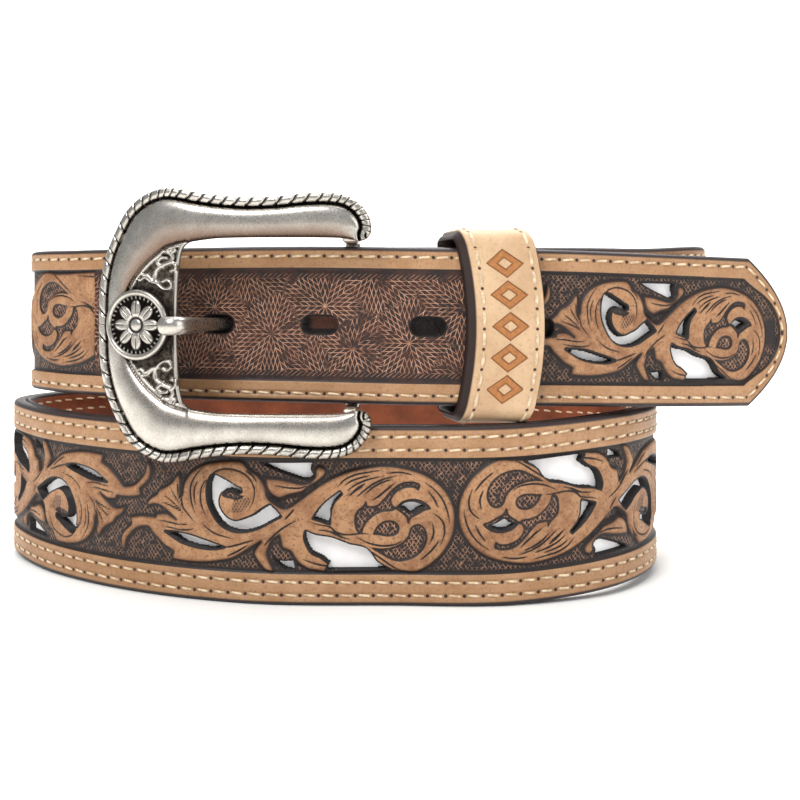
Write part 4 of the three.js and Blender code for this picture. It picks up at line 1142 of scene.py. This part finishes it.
# The heel bar, its lugs and the prong's ring, from plain solids with softened edges.
def barAndLugs():
    pieces, side = [], buckle["lugSide"] / 1000
    heel = np.array([buckle["heelX"], buckle["heelY"], buckle["middleZ"]]) / 1000
    deep = buckle["heelY"] + buckle["heelRadius"] - buckle["back"] + 1
    for sign in (-1, 1):
        away = sign * (buckle["heelLength"] / 2 - buckle["heelRadius"])
        place = (buckle["heelX"], buckle["back"] - 1 + deep / 2, buckle["middleZ"] + away)
        bpy.ops.mesh.primitive_cube_add(size=1, location=[value / 1000 for value in place])
        lug = bpy.context.object
        lug.scale = (side, deep / 1000, side)
        bpy.ops.object.transform_apply(location=True, rotation=True, scale=True)
        soften = lug.modifiers.new("soften", "BEVEL")
        soften.width, soften.segments = 0.0008, 3
        bpy.ops.object.modifier_apply(modifier="soften")
        pieces.append(lug)
    bpy.ops.mesh.primitive_cylinder_add(
        vertices=40, radius=buckle["heelRadius"] / 1000, depth=buckle["heelLength"] / 1000, location=list(heel))
    pieces.append(bpy.context.object)
    bpy.ops.mesh.primitive_torus_add(
        major_radius=buckle["ringRadius"] / 1000, minor_radius=buckle["ringThick"] / 1000, major_segments=40,
        minor_segments=14, location=list(heel))
    bpy.context.object.scale = (1, 1, buckle["ringStretch"])
    pieces.append(bpy.context.object)
    bpy.ops.object.select_all(action="DESELECT")
    for part in pieces:
        part.select_set(True)
    bpy.context.view_layer.objects.active = pieces[0]
    bpy.ops.object.transform_apply(location=True, rotation=True, scale=True)
    bpy.ops.object.join()
    bpy.context.object.name = "heel_bar_and_lugs"
    bpy.ops.object.shade_smooth_by_angle(angle=math.radians(40))
    return bpy.context.object


finishPiece(barAndLugs(), silver, "antique_silver")
print("buckle cast")

keeper = {
    "leftX": 19.2, "width": 16.3, "bow": 3.3, "skew": 0.25, "slantEdge": 1.8, "lowZ": 41.7, "highZ": 87.2,
    "nearY": -52.5, "farY": -33.1, "corner": 4.6, "leather": 2.4, "edgeRound": 0.75, "loopStep": 0.35, "columns": 45,
    "stitchInset": 2.0, "stitchPitch": 4.6, "stampPitch": 7.3, "stamps": 5, "stampDepth": 0.3,
}
keeperMiddle = (keeper["lowZ"] + keeper["highZ"]) / 2
keeperThread = {
    "rings": 7, "sides": 8, "share": 0.78, "wide": 0.4, "high": 0.32, "slant": 0, "lift": 0.14, "bend": 4,
    "sink": 0.4,
}


# The loop's course round the strap: its line and the ways out of it, as y and z.
def keeperCourse():
    corner, points = keeper["corner"], []
    near, far = keeper["nearY"] + corner, keeper["farY"] - corner
    low, high = keeper["lowZ"] + corner, keeper["highZ"] - corner
    for y, z, start in ((near, high, 90), (far, high, 0), (far, low, -90), (near, low, -180)):
        for angle in np.radians(np.linspace(start + 90, start, 14)):
            points.append((y + corner * math.cos(angle), z + corner * math.sin(angle)))
    points = np.array(points + points[:1])
    lengths = lengthsOf(points)
    count = int(lengths[-1] / keeper["loopStep"])
    line = readAt(np.arange(count) * lengths[-1] / count, lengths, points)
    ahead = unitLong(np.roll(line, -1, axis=0) - np.roll(line, 1, axis=0))
    return line, np.stack([-ahead[:, 1], ahead[:, 0]], 1), lengths[-1]


def keeperPlace(line, out, across, proud):
    y, z = line[..., 0] + out[..., 0] * proud, line[..., 1] + out[..., 1] * proud
    swell = keeper["bow"] * (1 - ((z - keeperMiddle) / ((keeper["highZ"] - keeper["lowZ"]) / 2)) ** 2)
    x = keeper["leftX"] + across + swell - keeper["skew"] * (y - keeper["nearY"])
    return np.stack([x, y, z], -1) / 1000


keeperLine, keeperOut, keeperLength = keeperCourse()
keeperCount = int(keeperLength / keeper["stitchPitch"])


def keeperLoop():
    width, thick, slant, rounding = keeper["width"], keeper["leather"], keeper["slantEdge"], keeper["edgeRound"]
    face = np.linspace(0, width, keeper["columns"])
    edge = np.minimum(face, width - face)
    drop = rounding - np.sqrt(rounding ** 2 - np.clip(rounding - edge, 0, rounding) ** 2)
    section = list(zip(face, -drop)) + [(width, -1.3), (width - 0.1, -thick + 0.3), (width - 0.5, -thick)]
    section += [(x, -thick) for x in np.linspace(width - 2, 2, 6)]
    section += [(0.5 - slant, -thick), (0.1 - slant, -thick + 0.3), (-0.55 * slant, -1.3)]
    shape = (len(keeperLine), len(section))
    across, proud = (np.broadcast_to(column, shape) for column in np.array(section).T)
    onFace = proud > -1
    # lozenges stamped down the middle of the front
    pitch, z = keeper["stampPitch"], keeperLine[:, None, 1]
    local, aside = np.abs((z - keeperMiddle + pitch / 2) % pitch - pitch / 2), np.abs(across - width / 2)
    lozenge, inner = (1 - local / 3.3 - aside / 4.3) * 2.6, (1 - local / 1.35 - aside / 1.75) * 1.1
    stamped = (keeperOut[:, None, 0] < -0.9) & onFace & (np.abs(z - keeperMiddle) < keeper["stamps"] / 2 * pitch)
    stamp = np.where(stamped, np.minimum(lozenge, -inner), -1.0)
    proud = proud - np.where(stamp > -0.5, keeper["stampDepth"] * smoothStep(-0.12, 0.18, stamp), 0)
    run = np.arange(shape[0])[:, None] * keeperLength / shape[0] + 0 * across
    attributes = {
        "edge": np.where(onFace, np.minimum(across, width - across), 0.0), "stamp": stamp, "run": run,
        "across": np.where(onFace, across, -9.0),
    }
    quads = tubeFaces(*shape, ring=True)[1]
    places = keeperPlace(keeperLine[:, None], keeperOut[:, None], across, proud)
    return closeShape(addMesh("keeper_band", places, [quads], attributes))


def naturalLeather():
    finish = Finish("natural_leather")
    mix, noise, read = finish.mix, finish.noise, finish.read
    speckle, stamp = noise(1300, 3, 0.7), read("stamp")
    colour = mix(noise(100, 4).step(0.3, 0.7), "#BB9875", "#CEAE8A")
    colour = mix(speckle.step(0.52, 0.7, 0.0, 0.3), colour, "#8F6A48")
    colour = mix(stamp.step(-0.12, 0.12), colour, mix(speckle.step(0.3, 0.7), "#B0753F", "#985F33"))
    # painted shade: a thin dark line round each stamp
    rim = stamp.step(-0.2, 0.0) * stamp.fall(0.1, 0.3)
    colour = mix(rim * 0.55, colour, "#7E4A26")
    row = abs(read("across") - keeper["width"] / 2) - (keeper["width"] / 2 - keeper["stitchInset"])
    needle = read("run").wave(keeperLength / keeperCount).awayFrom(row)
    colour = mix(needle.fall(0.25, 0.5), colour, "#3A2117")
    colour = mix(read("edge").fall(0.12, 0.45), colour, "#2A1C18")
    normal = finish.bump(noise(1800, 4, 0.65), 0.0001, 0.35)
    normal = finish.bump(stamp.fall(-0.15, 0.2), 0.0005, 0.9, normal)
    return finish.close(colour=colour, roughness=0.5, normal=normal, **leatherShine)


def keeperStitches():
    along, across, proud = threadShape(keeperThread, keeperLength / keeperCount)
    position = np.arange(len(keeperLine)) * keeperLength / len(keeperLine)
    at = ((np.arange(keeperCount) + 0.5) * keeperLength / keeperCount)[:, None, None] + along
    line, out = (readAt(at % keeperLength, position, table, period=keeperLength) for table in (keeperLine, keeperOut))
    insets = (keeper["stitchInset"], keeper["width"] - keeper["stitchInset"])
    rows = [keeperPlace(line, out, inset + across, proud) for inset in insets]
    return joinStitches("keeper_stitches", rows, keeperThread)


finishPiece(keeperLoop(), naturalLeather(), "keeper_leather", ["keeper"])
finishPiece(keeperStitches(), thread, "keeper_leather")
print("keeper dressed")

stage = {
    "halfWide": 2.4, "front": -1.6, "bendFrom": 1.0, "bendRadius": 0.5, "top": 2.2, "pictureSize": 800,
    "focal": 1074, "shift": -104, "sensor": 36, "cameraAt": (4.965, -300.98, 71.5),
    "sky": (0.86, 0.9, 0.95, 1), "skyStrength": 0.48,
}
# place, aim, size and power, in metres and watts
lights = {
    "key_light": ((-0.45, -0.75, 0.95), (0, 0, 0.04), 0.55, 11),
    "fill_light": ((0.9, -0.5, 0.45), (0, 0, 0.04), 0.7, 3.5),
    "top_light": ((0.1, 0.25, 1.1), (0, 0, 0.04), 0.9, 9.5),
    "cove_light": ((0.0, 0.75, 1.2), (0, 1.2, 0.4), 1.4, 24),
}


def plainMaterial(name, code, roughness, metallic=0.0):
    return Finish(name).close(colour=code, roughness=roughness, metallic=metallic)


def makeStage():
    # floor and backdrop in one sweep
    turns, radius = np.radians(np.linspace(0, 90, 13)), stage["bendRadius"]
    sweep = [(stage["bendFrom"] + radius * math.sin(turn), radius - radius * math.cos(turn)) for turn in turns]
    sweep = [(stage["front"], 0.0), *sweep, (stage["bendFrom"] + radius, stage["top"])]
    places = [(x, y, z) for y, z in sweep for x in (-stage["halfWide"], stage["halfWide"])]
    faces = np.array([[2 * i, 2 * i + 1, 2 * i + 3, 2 * i + 2] for i in range(len(sweep) - 1)])
    floor = addMesh("studio_cove", places, [faces])
    floor.data.materials.append(plainMaterial("pale_cove", "#F6F5F2", 0.9))
    scene = bpy.context.scene
    cameraData = bpy.data.cameras.new("camera")
    cameraData.lens = stage["focal"] * stage["sensor"] / stage["pictureSize"]
    cameraData.sensor_width = stage["sensor"]
    cameraData.shift_y = stage["shift"] / stage["pictureSize"]
    cameraData.clip_start = 0.01
    camera = bpy.data.objects.new("camera", cameraData)
    camera.location = [value / 1000 for value in stage["cameraAt"]]
    camera.rotation_euler = (math.radians(90), 0, 0)
    scene.collection.objects.link(camera)
    scene.camera = camera
    scene.render.resolution_x = scene.render.resolution_y = stage["pictureSize"]
    for name, (place, aim, size, power) in lights.items():
        light = bpy.data.lights.new(name, "AREA")
        light.size, light.energy = size, power
        lamp = bpy.data.objects.new(name, light)
        lamp.location = place
        lamp.rotation_euler = (Vector(aim) - Vector(place)).to_track_quat("-Z", "Y").to_euler()
        scene.collection.objects.link(lamp)
    scene.world = bpy.data.worlds.new("studio")
    scene.world.use_nodes = True
    sky = scene.world.node_tree.nodes["Background"]
    sky.inputs[0].default_value, sky.inputs[1].default_value = stage["sky"], stage["skyStrength"]
    scene.view_settings.view_transform = "Standard"


makeStage()
snapMetal = plainMaterial("nickel_snap", "#B8B4AC", 0.32, 1.0)
foldLeather = smoothLeather("skived_fold", "#8E4E30", "#693824")
for node, material in {"buckle_fold": foldLeather, "snap_1": snapMetal, "snap_2": snapMetal}.items():
    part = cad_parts[node]
    part.data.materials.clear()
    part.data.materials.append(material)
print("stage set")
